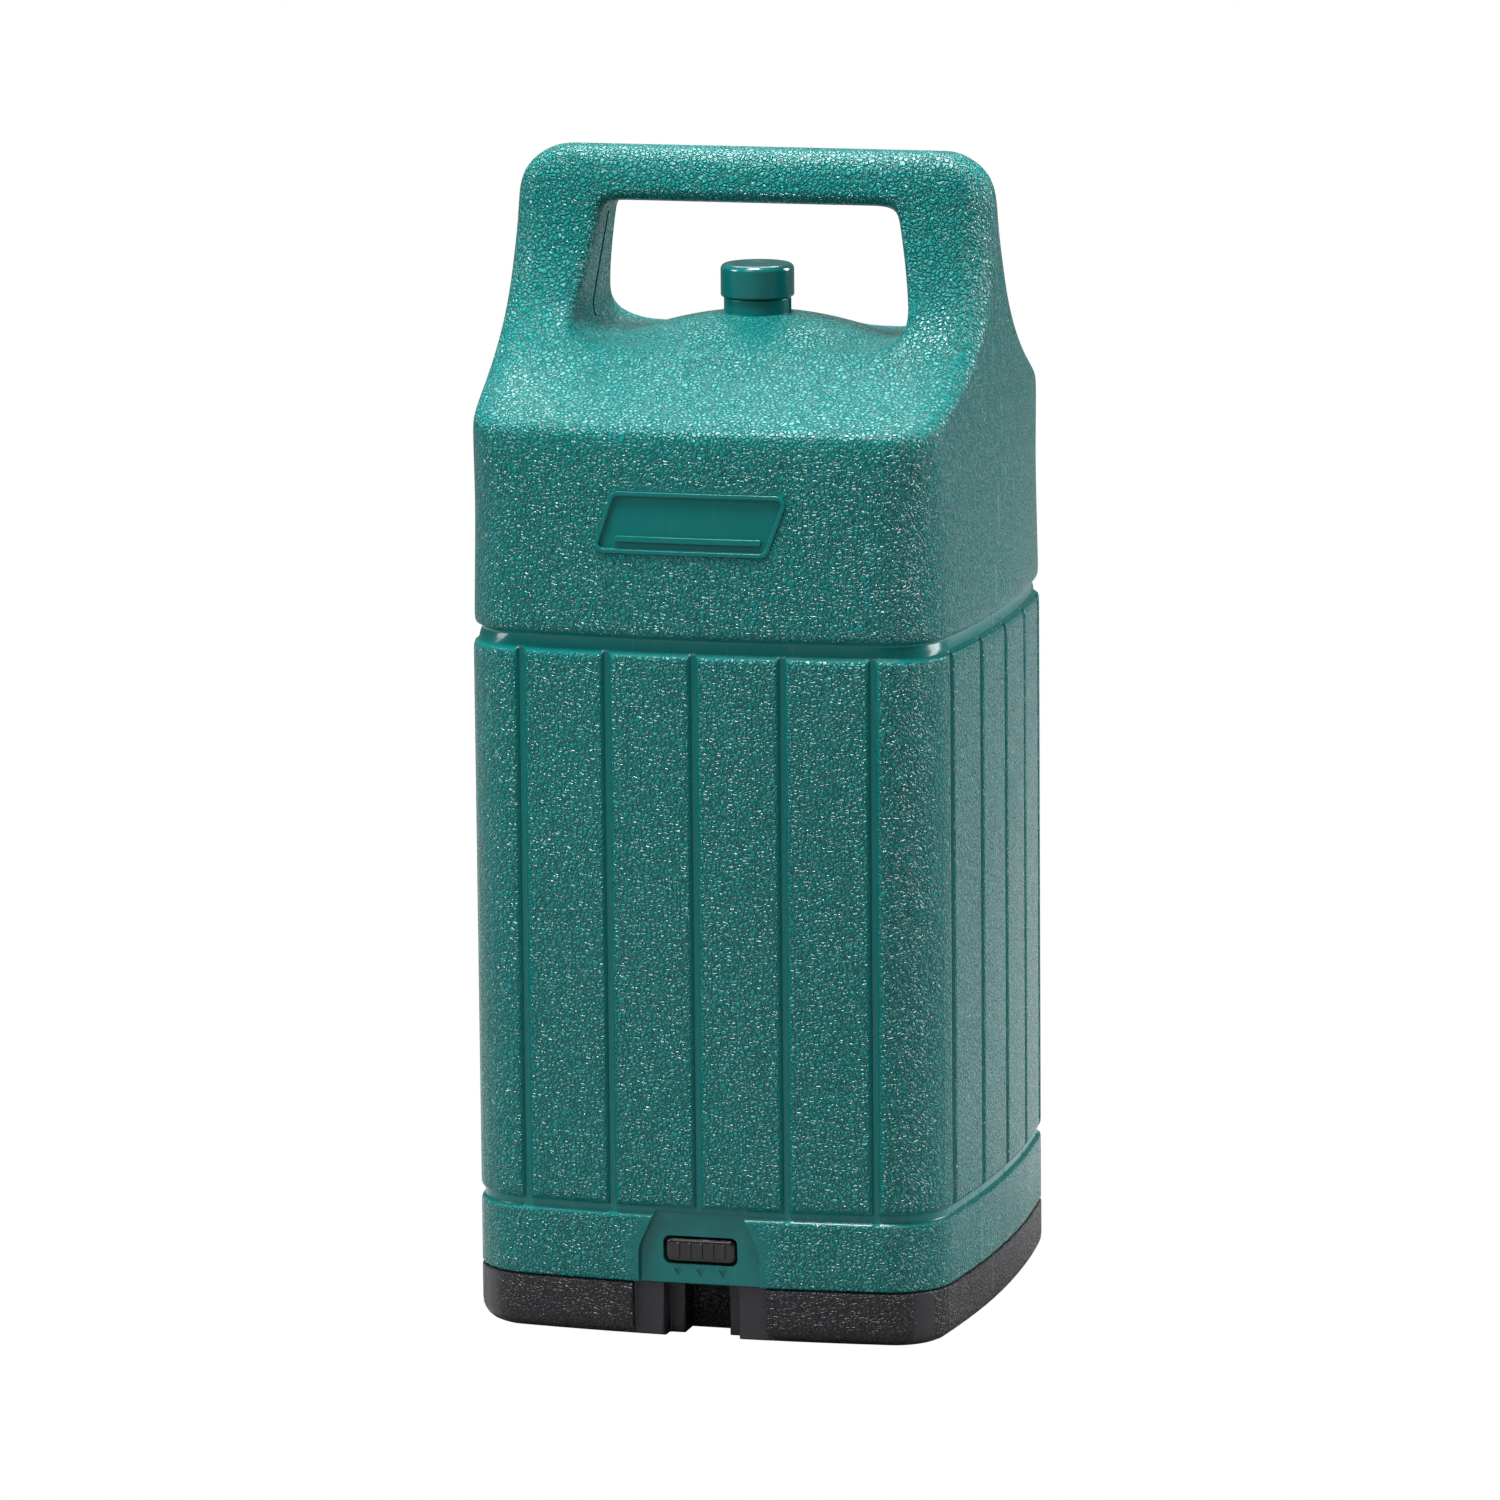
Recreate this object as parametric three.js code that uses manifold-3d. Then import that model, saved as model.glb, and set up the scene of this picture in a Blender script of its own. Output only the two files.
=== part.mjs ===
// Hard-shell carry case for a propane lantern: a tall blow-moulded cover with a built-in handle that
// lifts off a low base tray, held by a push button latch at the front and one at the rear.
// Millimetres, +Z up, origin at the centre of the underside. The front faces -Y.

import * as THREE from 'three';
import { mergeVertices } from 'three/addons/utils/BufferGeometryUtils.js';
import Module from 'manifold-3d';

// Overall size
const WIDTH = 200;                 // both ways, across the middle of the bowed faces
const HEIGHT = 457;                // to the top of the handle
const HALF = WIDTH / 2;
const BOW = 0.07;                  // how much each face falls away by the corners, as a share
const CORNER_RADIUS = 20;
const WALL = 3;
const GAP = 0.3;                   // clearance where two pieces would touch

// Base tray
const TRAY_TOP = 22;               // the ledge that the cover stands on
const SPIGOT_TOP = 50;             // the upstand inside the cover
const SPIGOT_HALF = 96.2;
const TRAY_FLOOR = 3;

// Cover
const COVER_BOTTOM = TRAY_TOP + 0.4;
const LOWER_GROOVE = { z: 51.2, height: 4.4, depth: 1.8 };
const UPPER_GROOVE = { z: 274.8, height: 7, depth: 2 };
const RIB_GROOVE = { pitch: 35.2, width: 4, depth: 1.6 };
const CROWN = { base: 439, rise: 18, x: 78, y: 3, roundX: 18, roundY: 10.6 };   // top of the handle

// Badge on the front: outline of the raised frame, its opening, and the bar, as [x, z] corners
const BADGE = {
  frame: [[-40.6, 310.5], [29.8, 310.5], [38.7, 334.7], [-32.3, 334.7]],
  field: [[-38.2, 312], [-30.9, 333.2], [36.4, 333.2], [28.6, 312]],
  bar: [[-33, 314.6], [25, 314.6], [25.6, 316.4], [-32.4, 316.4]],
};

// Hand opening and the dome on its floor
const OPENING = { top: 436.4, bottom: 382.5, halfTop: 59.5, halfBottom: 68, radius: 8, footRadius: 16 };
const DOME = { radius: 52, top: 393, edge: 381.5 };
const NECK = { radius: 13.2, bore: 9.3, top: 398.1 };
const CAP = { radius: 14.5, bottom: 398.4, top: 411.5, edge: 2.2, stemRadius: 9, stemLength: 14 };

// Latch
const PLATE = { half: 24.5, halfTop: 18, shoulder: 34, neck: 41, rounding: 5, y: -97, inner: -94.2 };
const WINDOW = { half: 15, bottom: 30, top: 41.2, radius: 3.2 };
const LATCH_WALL = { outer: -93.6, inner: -90.6 };
const BUTTON = { half: 14.2, bottom: 30.7, top: 40.4, radius: 2.8, front: -98.2 };
const FLANGE = { half: 18, bottom: 27.6, top: 43.5, thickness: 2 };
const HOUSING = { half: 22, bottom: 25.6, top: 45.5, back: -73, wall: 2, earHalf: 39, earThickness: 2.2 };
const LATCH_Z = (HOUSING.bottom + HOUSING.top) / 2;
const PEG = { radius: 2.1, x: 9, button: 3.8, housing: 3.5 };
const SPRING = { radius: 3.3, wire: 0.5, turns: 4 };
const LATCH_SCREW = { x: 33, headRadius: 3.2, head: 2, shankRadius: 1.4, length: 5, hole: 1.8 };

// Finger pull under each latch: three steps back into the tray, each narrower and deeper
const PULL_STEPS = [
  { half: 27, depth: 4, top: TRAY_TOP + 5, wallTop: TRAY_TOP - 0.5 },
  { half: 15.3, depth: 12.5, top: TRAY_TOP - 0.1, wallTop: TRAY_TOP + 2.9 },
  { half: 9, depth: 23, top: TRAY_TOP - 0.1, wallTop: TRAY_TOP + 2.9 },
];

// Deck with the seat for the lantern's fuel cylinder
const DECK = { half: 92.7, bottom: 21, top: 24 };
const SEAT = { bore: 52, outer: 55, bottom: TRAY_FLOOR + GAP, floor: 3, top: 34 };
const DECK_SCREW = { x: 64, headRadius: 3.8, head: 2.3, shankRadius: 1.8, length: 14, hole: 2.2, boss: 5.5 };

const wasm = await Module();
wasm.setup();

// ---- geometry helpers ----

function solid(geometry) {
  const bare = geometry.clone();
  bare.deleteAttribute('normal');
  bare.deleteAttribute('uv');
  const merged = mergeVertices(bare, 1e-4);
  return new wasm.Manifold(new wasm.Mesh({
    numProp: 3,
    vertProperties: new Float32Array(merged.attributes.position.array),
    triVerts: new Uint32Array(merged.index.array),
  }));
}

function geometryOf(shape) {
  const result = shape.getMesh();
  const geometry = new THREE.BufferGeometry();
  geometry.setAttribute('position', new THREE.BufferAttribute(new Float32Array(result.vertProperties), 3));
  geometry.setIndex(Array.from(result.triVerts));
  geometry.computeVertexNormals();
  return geometry;
}

// Box from its lowest to its highest corner.
function box(x0, x1, y0, y1, z0, z1) {
  const geometry = new THREE.BoxGeometry(x1 - x0, y1 - y0, z1 - z0);
  geometry.translate((x0 + x1) / 2, (y0 + y1) / 2, (z0 + z1) / 2);
  return solid(geometry);
}

// Round solid about +Z from [radius, z] points, standing at x, y.
function turned(profile, x = 0, y = 0, segments = 28) {
  const points = profile.map(([radius, z]) => new THREE.Vector2(radius, z));
  const geometry = new THREE.LatheGeometry(points, segments);
  geometry.rotateX(Math.PI / 2);
  geometry.translate(x, y, 0);
  return solid(geometry);
}

function rod(radius, z0, z1, x = 0, y = 0, segments = 16) {
  return turned([[0, z0], [radius, z0], [radius, z1], [0, z1]], x, y, segments);
}

// Round rod along Y.
function crossRod(radius, y0, y1, x, z, segments = 16) {
  const geometry = new THREE.CylinderGeometry(radius, radius, y1 - y0, segments);
  geometry.translate(x, (y0 + y1) / 2, z);
  return solid(geometry);
}

// An outline drawn in X and Z, pushed through from y0 to y1.
function throughY(shape, y0, y1, curveSegments = 5) {
  const geometry = new THREE.ExtrudeGeometry(shape, { depth: y1 - y0, bevelEnabled: false, curveSegments });
  geometry.rotateX(Math.PI / 2);
  geometry.translate(0, y1, 0);
  return solid(geometry);
}

// Polygon with rounded corners, from [x, z, radius] corners listed anticlockwise.
function roundedShape(corners) {
  const shape = new THREE.Shape();
  corners.forEach(([x, z, radius], index) => {
    const here = new THREE.Vector2(x, z);
    const [px, pz] = corners[(index + corners.length - 1) % corners.length];
    const [nx, nz] = corners[(index + 1) % corners.length];
    const before = new THREE.Vector2(px, pz).sub(here).normalize();
    const after = new THREE.Vector2(nx, nz).sub(here).normalize();
    const reach = radius / Math.tan(Math.acos(before.dot(after)) / 2);
    const start = here.clone().addScaledVector(before, reach);
    const end = here.clone().addScaledVector(after, reach);
    if (index === 0) shape.moveTo(start.x, start.y);
    else shape.lineTo(start.x, start.y);
    if (radius > 0) shape.quadraticCurveTo(here.x, here.y, end.x, end.y);
  });
  shape.closePath();
  return shape;
}

// One ring of the case's plan: a rounded rectangle whose sides bow outwards.
function planRing(halfX, halfY, radius) {
  const SIDE_STEPS = 4;
  const CORNER_STEPS = 4;
  const ring = [];
  const add = (x, y) => ring.push([
    x * (1 - BOW * (y / HALF) ** 2),
    y * (1 - BOW * (x / HALF) ** 2),
  ]);
  const signs = [[1, -1], [1, 1], [-1, 1], [-1, -1]];
  signs.forEach(([sx, sy], quarter) => {
    const cx = sx * (halfX - radius);
    const cy = sy * (halfY - radius);
    for (let step = 0; step <= CORNER_STEPS; step += 1) {
      const angle = (quarter - 1 + step / CORNER_STEPS) * Math.PI / 2;
      add(cx + radius * Math.cos(angle), cy + radius * Math.sin(angle));
    }
    const [nextX, nextY] = signs[(quarter + 1) % 4];
    const outX = radius * Math.cos(quarter * Math.PI / 2);
    const outY = radius * Math.sin(quarter * Math.PI / 2);
    const from = new THREE.Vector2(cx + outX, cy + outY);
    const to = new THREE.Vector2(nextX * (halfX - radius) + outX, nextY * (halfY - radius) + outY);
    for (let step = 1; step < SIDE_STEPS; step += 1) {
      const { x, y } = from.clone().lerp(to, step / SIDE_STEPS);
      add(x, y);
    }
  });
  return ring;
}

// Closed solid through a stack of plan rings, each { z, x, y, r }.
function loft(levels) {
  const rings = levels.map((level) => planRing(level.x, level.y, level.r ?? CORNER_RADIUS));
  const count = rings[0].length;
  const positions = [];
  const triangles = [];
  rings.forEach((ring, row) => ring.forEach(([x, y]) => positions.push(x, y, levels[row].z)));
  for (let row = 0; row + 1 < rings.length; row += 1) {
    for (let i = 0; i < count; i += 1) {
      const a = row * count + i;
      const b = row * count + (i + 1) % count;
      triangles.push(a, b, b + count, a, b + count, a + count);
    }
  }
  const bottom = positions.length / 3;
  positions.push(0, 0, levels[0].z);
  positions.push(0, 0, levels[levels.length - 1].z);
  const lastRow = (rings.length - 1) * count;
  for (let i = 0; i < count; i += 1) {
    const j = (i + 1) % count;
    triangles.push(bottom, j, i, bottom + 1, lastRow + i, lastRow + j);
  }
  const geometry = new THREE.BufferGeometry();
  geometry.setAttribute('position', new THREE.Float32BufferAttribute(positions, 3));
  geometry.setIndex(triangles);
  return solid(geometry);
}

const joined = (first, ...others) => others.reduce((whole, next) => whole.add(next), first);
const cut = (first, ...others) => others.reduce((whole, next) => whole.subtract(next), first);

// The same shape turned half a turn about Z, for the rear of the case.
const atRear = (shape) => shape.rotate([0, 0, 180]);
const bothEnds = (shape) => joined(shape, atRear(shape));

// ---- cover ----

// Corner radius of the handle's plan, as a share of its half depth.
const SLIM_CORNER = 0.86;

// Outer half sizes of the cover by height: straight draft up to the shoulder, then a bell in side
// view that becomes the handle. inset draws the inner skin.
function coverLevels(inset) {
  const bodyRadius = CORNER_RADIUS - inset;
  const level = (z, x, y, r = bodyRadius) => ({ z, x: x - inset, y: y - inset, r });
  const body = [level(300, 99.8, 99.8), level(330, 99.2, 99), level(345, 98.8, 96.8)];
  const bell = [
    [353, 93], [359, 88.6], [364, 81], [370, 67.5], [376, 54.5], [382, 44.5],
    [389, 35.5], [397, 29], [407, 23.2], [420, 17.8], [433, 14.8],
  ];
  const shoulders = bell.map(([z, y]) => {
    const lean = 98.4 - 2.2 * Math.max(0, (z - 380) / 60) ** 2;
    return level(z, lean, y, Math.min(bodyRadius, (y - inset) * SLIM_CORNER));
  });
  return { body, shoulders, level };
}

function coverOuter() {
  const { body, shoulders, level } = coverLevels(0);
  const ringAt = (groove) => [
    level(groove.z - groove.height / 2 - 0.6, HALF, HALF),
    level(groove.z - groove.height / 2 + 0.6, HALF - groove.depth, HALF - groove.depth),
    level(groove.z + groove.height / 2 - 0.6, HALF - groove.depth, HALF - groove.depth),
    level(groove.z + groove.height / 2 + 0.6, HALF, HALF),
  ];
  const crown = [0, 0.3, 0.6, 0.85, 1].map((share) => {
    const angle = share * Math.PI / 2;
    const x = CROWN.x + CROWN.roundX * Math.cos(angle);
    const y = CROWN.y + CROWN.roundY * Math.cos(angle);
    return level(CROWN.base + CROWN.rise * Math.sin(angle), x, y, y * SLIM_CORNER);
  });
  return loft([
    level(COVER_BOTTOM, 99.3, 99.3),
    level(COVER_BOTTOM + 1, HALF, HALF),
    ...ringAt(LOWER_GROOVE),
    ...ringAt(UPPER_GROOVE),
    ...body,
    ...shoulders,
    ...crown,
  ]);
}

function coverInner() {
  const { body, shoulders, level } = coverLevels(WALL);
  const ceiling = HEIGHT - WALL;
  return loft([
    level(COVER_BOTTOM - 1, HALF, HALF),
    level(280, HALF, HALF),
    ...body,
    ...shoulders,
    level(446, 94, 12.6, 8),
    level(ceiling - 2.5, 88, 9.5, 5),
    level(ceiling, 84, 7, 3),
  ]);
}

function openingShape(grow) {
  return roundedShape([
    [-OPENING.halfBottom - grow, OPENING.bottom - grow, OPENING.footRadius],
    [OPENING.halfBottom + grow, OPENING.bottom - grow, OPENING.footRadius],
    [OPENING.halfTop + grow, OPENING.top + grow, OPENING.radius + grow],
    [-OPENING.halfTop - grow, OPENING.top + grow, OPENING.radius + grow],
  ]);
}

function dome(inset) {
  const radius = DOME.radius - inset;
  const edge = DOME.edge - inset;
  const top = DOME.top - inset;
  const STEPS = 5;
  const curve = [];
  for (let step = 0; step <= STEPS; step += 1) {
    const share = 1 - step / STEPS;
    curve.push([radius * share, top - (top - edge) * share ** 2]);
  }
  return turned([[0, 366], [radius, 366], ...curve], 0, 0, 28);
}

// Vertical grooves down the front, rear and both sides, between the two belt grooves.
function ribGrooves() {
  const bottom = LOWER_GROOVE.z;
  const top = UPPER_GROOVE.z;
  const cuts = [];
  for (let i = -2; i <= 2; i += 1) {
    const at = i * RIB_GROOVE.pitch;
    const floor = HALF - BOW * HALF * (at / HALF) ** 2 - RIB_GROOVE.depth;
    const slot = box(at - RIB_GROOVE.width / 2, at + RIB_GROOVE.width / 2, -HALF - 5, -floor, bottom, top);
    for (const turn of [0, 90, 180, 270]) cuts.push(slot.rotate([0, 0, turn]));
  }
  return cuts;
}

// Raised frame and bar on the front, following the bow of the face.
function badge() {
  const points = (corners) => corners.map(([x, z]) => new THREE.Vector2(x, z));
  const frame = new THREE.Shape(points(BADGE.frame));
  frame.holes.push(new THREE.Path(points(BADGE.field)));
  const bar = new THREE.Shape(points(BADGE.bar));
  const proud = loft([
    { z: 300, x: HALF, y: HALF - 0.1 },
    { z: 345, x: HALF, y: HALF - 0.4 },
  ]);
  return joined(throughY(frame, -105, -96.6), throughY(bar, -105, -96.6)).intersect(proud);
}

function plateShape() {
  return roundedShape([
    [-PLATE.half, COVER_BOTTOM - 5, 0],
    [PLATE.half, COVER_BOTTOM - 5, 0],
    [PLATE.half, PLATE.shoulder, PLATE.rounding],
    [PLATE.halfTop, PLATE.neck, PLATE.rounding],
    [PLATE.halfTop, LOWER_GROOVE.z, 0],
    [-PLATE.halfTop, LOWER_GROOVE.z, 0],
    [-PLATE.halfTop, PLATE.neck, PLATE.rounding],
    [-PLATE.half, PLATE.shoulder, PLATE.rounding],
  ]);
}

function windowShape(shape, grow = 0) {
  return roundedShape([
    [-shape.half - grow, shape.bottom - grow, shape.radius],
    [shape.half + grow, shape.bottom - grow, shape.radius],
    [shape.half + grow, shape.top + grow, shape.radius],
    [-shape.half - grow, shape.top + grow, shape.radius],
  ]);
}

function makeCover() {
  const opening = throughY(openingShape(0), -80, 80).subtract(dome(0));
  const hollowRound = throughY(openingShape(WALL), -80, 80).subtract(dome(WALL));
  const plateBack = box(-PLATE.half - 3, PLATE.half + 3, -98, PLATE.inner, COVER_BOTTOM - 2, SPIGOT_TOP + 5);
  const inside = cut(coverInner(), hollowRound, bothEnds(plateBack));
  const neck = rod(NECK.radius, DOME.top - 3, NECK.top, 0, 0, 28);
  const boss = rod(NECK.radius, DOME.top - 8, DOME.top - 2, 0, 0, 28);
  const bore = rod(NECK.bore, DOME.top - 20, NECK.top + 5, 0, 0, 28);
  const plateFront = throughY(plateShape(), -110, PLATE.y);
  const window = throughY(windowShape(WINDOW), -110, -90);
  return cut(
    joined(coverOuter().subtract(opening).subtract(inside), neck, boss, badge()),
    bore,
    bothEnds(plateFront),
    bothEnds(window),
    ...ribGrooves(),
  );
}

function makeCap() {
  return turned([
    [0, CAP.bottom - CAP.stemLength],
    [CAP.stemRadius, CAP.bottom - CAP.stemLength],
    [CAP.stemRadius, CAP.bottom],
    [CAP.radius, CAP.bottom],
    [CAP.radius, CAP.top - CAP.edge],
    [CAP.radius - CAP.edge * 0.3, CAP.top - CAP.edge * 0.3],
    [CAP.radius - CAP.edge, CAP.top],
    [CAP.radius - CAP.edge * 2, CAP.top],
    [CAP.radius - CAP.edge * 2.4, CAP.top - 0.8],
    [0, CAP.top - 0.8],
  ]);
}

// ---- base ----

function makeTray() {
  const outer = loft([
    { z: 0, x: 93.4, y: 93.4, r: 14 },
    { z: 2.2, x: 97, y: 97, r: 17 },
    { z: 5, x: 99, y: 99, r: 19 },
    { z: 9, x: HALF, y: HALF },
    { z: TRAY_TOP - 0.8, x: HALF, y: HALF },
    { z: TRAY_TOP, x: 99.2, y: 99.2, r: 19.2 },
    { z: TRAY_TOP + 0.01, x: SPIGOT_HALF, y: SPIGOT_HALF, r: 16.2 },
    { z: SPIGOT_TOP - 1, x: SPIGOT_HALF, y: SPIGOT_HALF, r: 16.2 },
    { z: SPIGOT_TOP, x: SPIGOT_HALF - 1, y: SPIGOT_HALF - 1, r: 15.2 },
  ]);
  const inner = loft([
    { z: TRAY_FLOOR, x: 92, y: 92, r: 13 },
    { z: TRAY_FLOOR + 4, x: HALF - WALL, y: HALF - WALL, r: 17 },
    { z: TRAY_TOP - WALL - 2, x: HALF - WALL, y: HALF - WALL, r: 17 },
    { z: TRAY_TOP - 1, x: SPIGOT_HALF - WALL, y: SPIGOT_HALF - WALL, r: 13.2 },
    { z: SPIGOT_TOP + 1, x: SPIGOT_HALF - WALL, y: SPIGOT_HALF - WALL, r: 13.2 },
  ]);
  const pullWalls = PULL_STEPS.map(({ half, depth, wallTop }) => box(
    -half - WALL, half + WALL, -97.5, -HALF + depth + WALL, 1.5, wallTop,
  ));
  const pullCuts = PULL_STEPS.map(({ half, depth, top }) => box(-half, half, -110, -HALF + depth, -5, top));
  const latchWall = box(
    -HOUSING.earHalf - 3, HOUSING.earHalf + 3, -94.6, LATCH_WALL.inner, TRAY_TOP - 3, SPIGOT_TOP - 0.5,
  );
  const latchCuts = joined(
    box(-PLATE.half - 4, PLATE.half + 4, -110, LATCH_WALL.outer, TRAY_TOP, SPIGOT_TOP + 5),
    throughY(windowShape(BUTTON, 0.4), -96, -88),
    ...[-LATCH_SCREW.x, LATCH_SCREW.x].map((x) => crossRod(LATCH_SCREW.hole, -94.4, -88, x, LATCH_Z)),
  );
  const corners = [-1, 1].flatMap((sx) => [-1, 1].map((sy) => [sx * DECK_SCREW.x, sy * DECK_SCREW.x]));
  const bosses = corners.map(([x, y]) => rod(DECK_SCREW.boss, TRAY_FLOOR - 1, DECK.bottom - GAP, x, y, 20));
  const holes = corners.map(([x, y]) => rod(DECK_SCREW.hole, TRAY_FLOOR + 4, DECK.bottom + 1, x, y));
  const shell = joined(outer.subtract(inner), bothEnds(joined(latchWall, ...pullWalls)), ...bosses);
  return cut(shell, bothEnds(joined(latchCuts, ...pullCuts)), ...holes);
}

function makeDeck() {
  const plate = loft([
    { z: DECK.bottom, x: DECK.half, y: DECK.half, r: 13 },
    { z: DECK.top - 0.8, x: DECK.half, y: DECK.half, r: 13 },
    { z: DECK.top, x: DECK.half - 0.8, y: DECK.half - 0.8, r: 12.2 },
  ]);
  const collar = rod(SEAT.outer, SEAT.bottom, SEAT.top, 0, 0, 32);
  const seat = turned([
    [0, SEAT.bottom + SEAT.floor], [SEAT.bore, SEAT.bottom + SEAT.floor],
    [SEAT.bore, SEAT.top - 1.5], [SEAT.bore + 1.5, SEAT.top + 0.1], [0, SEAT.top + 0.1],
  ], 0, 0, 32);
  const notches = [
    [HOUSING.earHalf + 4, LATCH_WALL.inner + GAP],
    ...PULL_STEPS.slice(1).map(({ half, depth }) => [half + WALL + GAP, -HALF + depth + WALL + GAP]),
  ].map(([half, y]) => box(-half, half, -110, y, DECK.bottom - 5, DECK.top + 5));
  const holes = [-1, 1].flatMap((sx) => [-1, 1].map((sy) => rod(
    DECK_SCREW.hole, DECK.bottom - 1, DECK.top + 1, sx * DECK_SCREW.x, sy * DECK_SCREW.x,
  )));
  return cut(joined(plate, collar), seat, bothEnds(joined(...notches)), ...holes);
}

function makeDeckScrew(x, y) {
  const under = DECK.top + GAP;
  const top = under + DECK_SCREW.head;
  const head = turned([
    [0, under], [DECK_SCREW.headRadius, under], [DECK_SCREW.headRadius, top - 1],
    [DECK_SCREW.headRadius - 0.9, top], [0, top],
  ], x, y, 16);
  const shank = turned([
    [0, under - DECK_SCREW.length], [0.6, under - DECK_SCREW.length],
    [DECK_SCREW.shankRadius, under - DECK_SCREW.length + 2], [DECK_SCREW.shankRadius, under + 0.5],
    [0, under + 0.5],
  ], x, y, 12);
  return head.add(shank);
}

// ---- latch, drawn at the front ----

function makeButton() {
  const flangeFront = LATCH_WALL.inner + GAP;
  const flangeBack = flangeFront + FLANGE.thickness;
  const face = throughY(windowShape(BUTTON, -0.9), BUTTON.front, BUTTON.front + 2);
  const body = throughY(windowShape(BUTTON), BUTTON.front + 1, flangeFront + 0.5);
  const flange = box(-FLANGE.half, FLANGE.half, flangeFront, flangeBack, FLANGE.bottom, FLANGE.top);
  const pegs = [-PEG.x, PEG.x].map((x) => crossRod(
    PEG.radius, flangeBack - 0.5, flangeBack + PEG.button, x, LATCH_Z,
  ));
  return joined(face, body, flange, ...pegs);
}

function makeHousing() {
  const front = LATCH_WALL.inner + GAP;
  const { half, bottom, top, back, wall, earHalf, earThickness } = HOUSING;
  const shell = box(-half, half, front, back, bottom, top);
  const room = box(-half + wall, half - wall, front - 1, back - wall, bottom + wall - 0.6, top - wall + 0.6);
  const ears = box(-earHalf, earHalf, front, front + earThickness, LATCH_Z - 6, LATCH_Z + 6);
  const pegs = [-PEG.x, PEG.x].map((x) => crossRod(
    PEG.radius, back - wall - PEG.housing, back - wall + 0.5, x, LATCH_Z,
  ));
  const holes = [-LATCH_SCREW.x, LATCH_SCREW.x].map((x) => crossRod(
    LATCH_SCREW.hole, front - 1, front + 4, x, LATCH_Z,
  ));
  return joined(cut(joined(shell, ears), room, ...holes), ...pegs);
}

function makeLatchScrew(x) {
  const seatY = LATCH_WALL.inner + GAP + HOUSING.earThickness + GAP;
  const head = crossRod(LATCH_SCREW.headRadius, seatY, seatY + LATCH_SCREW.head, x, LATCH_Z);
  const shank = crossRod(LATCH_SCREW.shankRadius, seatY - LATCH_SCREW.length, seatY + 0.5, x, LATCH_Z, 12);
  return head.add(shank);
}

class Helix extends THREE.Curve {
  constructor(x, y0, y1) {
    super();
    this.x = x;
    this.y0 = y0;
    this.y1 = y1;
  }

  getPoint(t, target = new THREE.Vector3()) {
    const angle = t * SPRING.turns * 2 * Math.PI;
    return target.set(
      this.x + SPRING.radius * Math.cos(angle),
      this.y0 + (this.y1 - this.y0) * t,
      LATCH_Z + SPRING.radius * Math.sin(angle),
    );
  }
}

function makeSpring(x) {
  const y0 = LATCH_WALL.inner + GAP + FLANGE.thickness + SPRING.wire + GAP;
  const y1 = HOUSING.back - HOUSING.wall - SPRING.wire - GAP;
  const section = new THREE.Shape();
  const SIDES = 5;
  for (let i = 0; i < SIDES; i += 1) {
    const angle = (i / SIDES) * 2 * Math.PI;
    const point = [SPRING.wire * Math.cos(angle), SPRING.wire * Math.sin(angle)];
    if (i === 0) section.moveTo(...point);
    else section.lineTo(...point);
  }
  section.closePath();
  return solid(new THREE.ExtrudeGeometry(section, {
    steps: SPRING.turns * 8,
    bevelEnabled: false,
    extrudePath: new Helix(x, y0, y1),
  }));
}

// ---- assembly ----

const FINISHES = {
  green: { color: 0x1b6b66, roughness: 0.5, metalness: 0 },
  glossGreen: { color: 0x0f5a56, roughness: 0.25, metalness: 0 },
  black: { color: 0x2b2a2d, roughness: 0.6, metalness: 0 },
  glossBlack: { color: 0x1c1b1d, roughness: 0.3, metalness: 0 },
  steel: { color: 0xb4b6ba, roughness: 0.35, metalness: 1 },
};

const lanternCase = new THREE.Group();

function place(name, shape, finish) {
  const mesh = new THREE.Mesh(geometryOf(shape), new THREE.MeshStandardMaterial(FINISHES[finish]));
  mesh.name = name;
  lanternCase.add(mesh);
}

place('cover_shell', makeCover(), 'green');
place('top_cap', makeCap(), 'glossGreen');
place('base_tray', makeTray(), 'black');
place('lantern_deck', makeDeck(), 'black');
for (const [end, sy] of [['front', -1], ['rear', 1]]) {
  for (const [side, sx] of [['left', -1], ['right', 1]]) {
    place(`deck_screw_${end}_${side}`, makeDeckScrew(sx * DECK_SCREW.x, sy * DECK_SCREW.x), 'steel');
  }
}
for (const [end, turn] of [['front', (shape) => shape], ['rear', atRear]]) {
  place(`${end}_latch_button`, turn(makeButton()), 'glossBlack');
  place(`${end}_latch_housing`, turn(makeHousing()), 'glossBlack');
  for (const [side, sx] of [['left', -1], ['right', 1]]) {
    const x = end === 'front' ? sx : -sx;
    place(`${end}_latch_spring_${side}`, turn(makeSpring(x * PEG.x)), 'steel');
    place(`${end}_latch_screw_${side}`, turn(makeLatchScrew(x * LATCH_SCREW.x)), 'steel');
  }
}

export default lanternCase;
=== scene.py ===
import math

import bmesh
import bpy
from mathutils import Matrix, Vector


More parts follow.
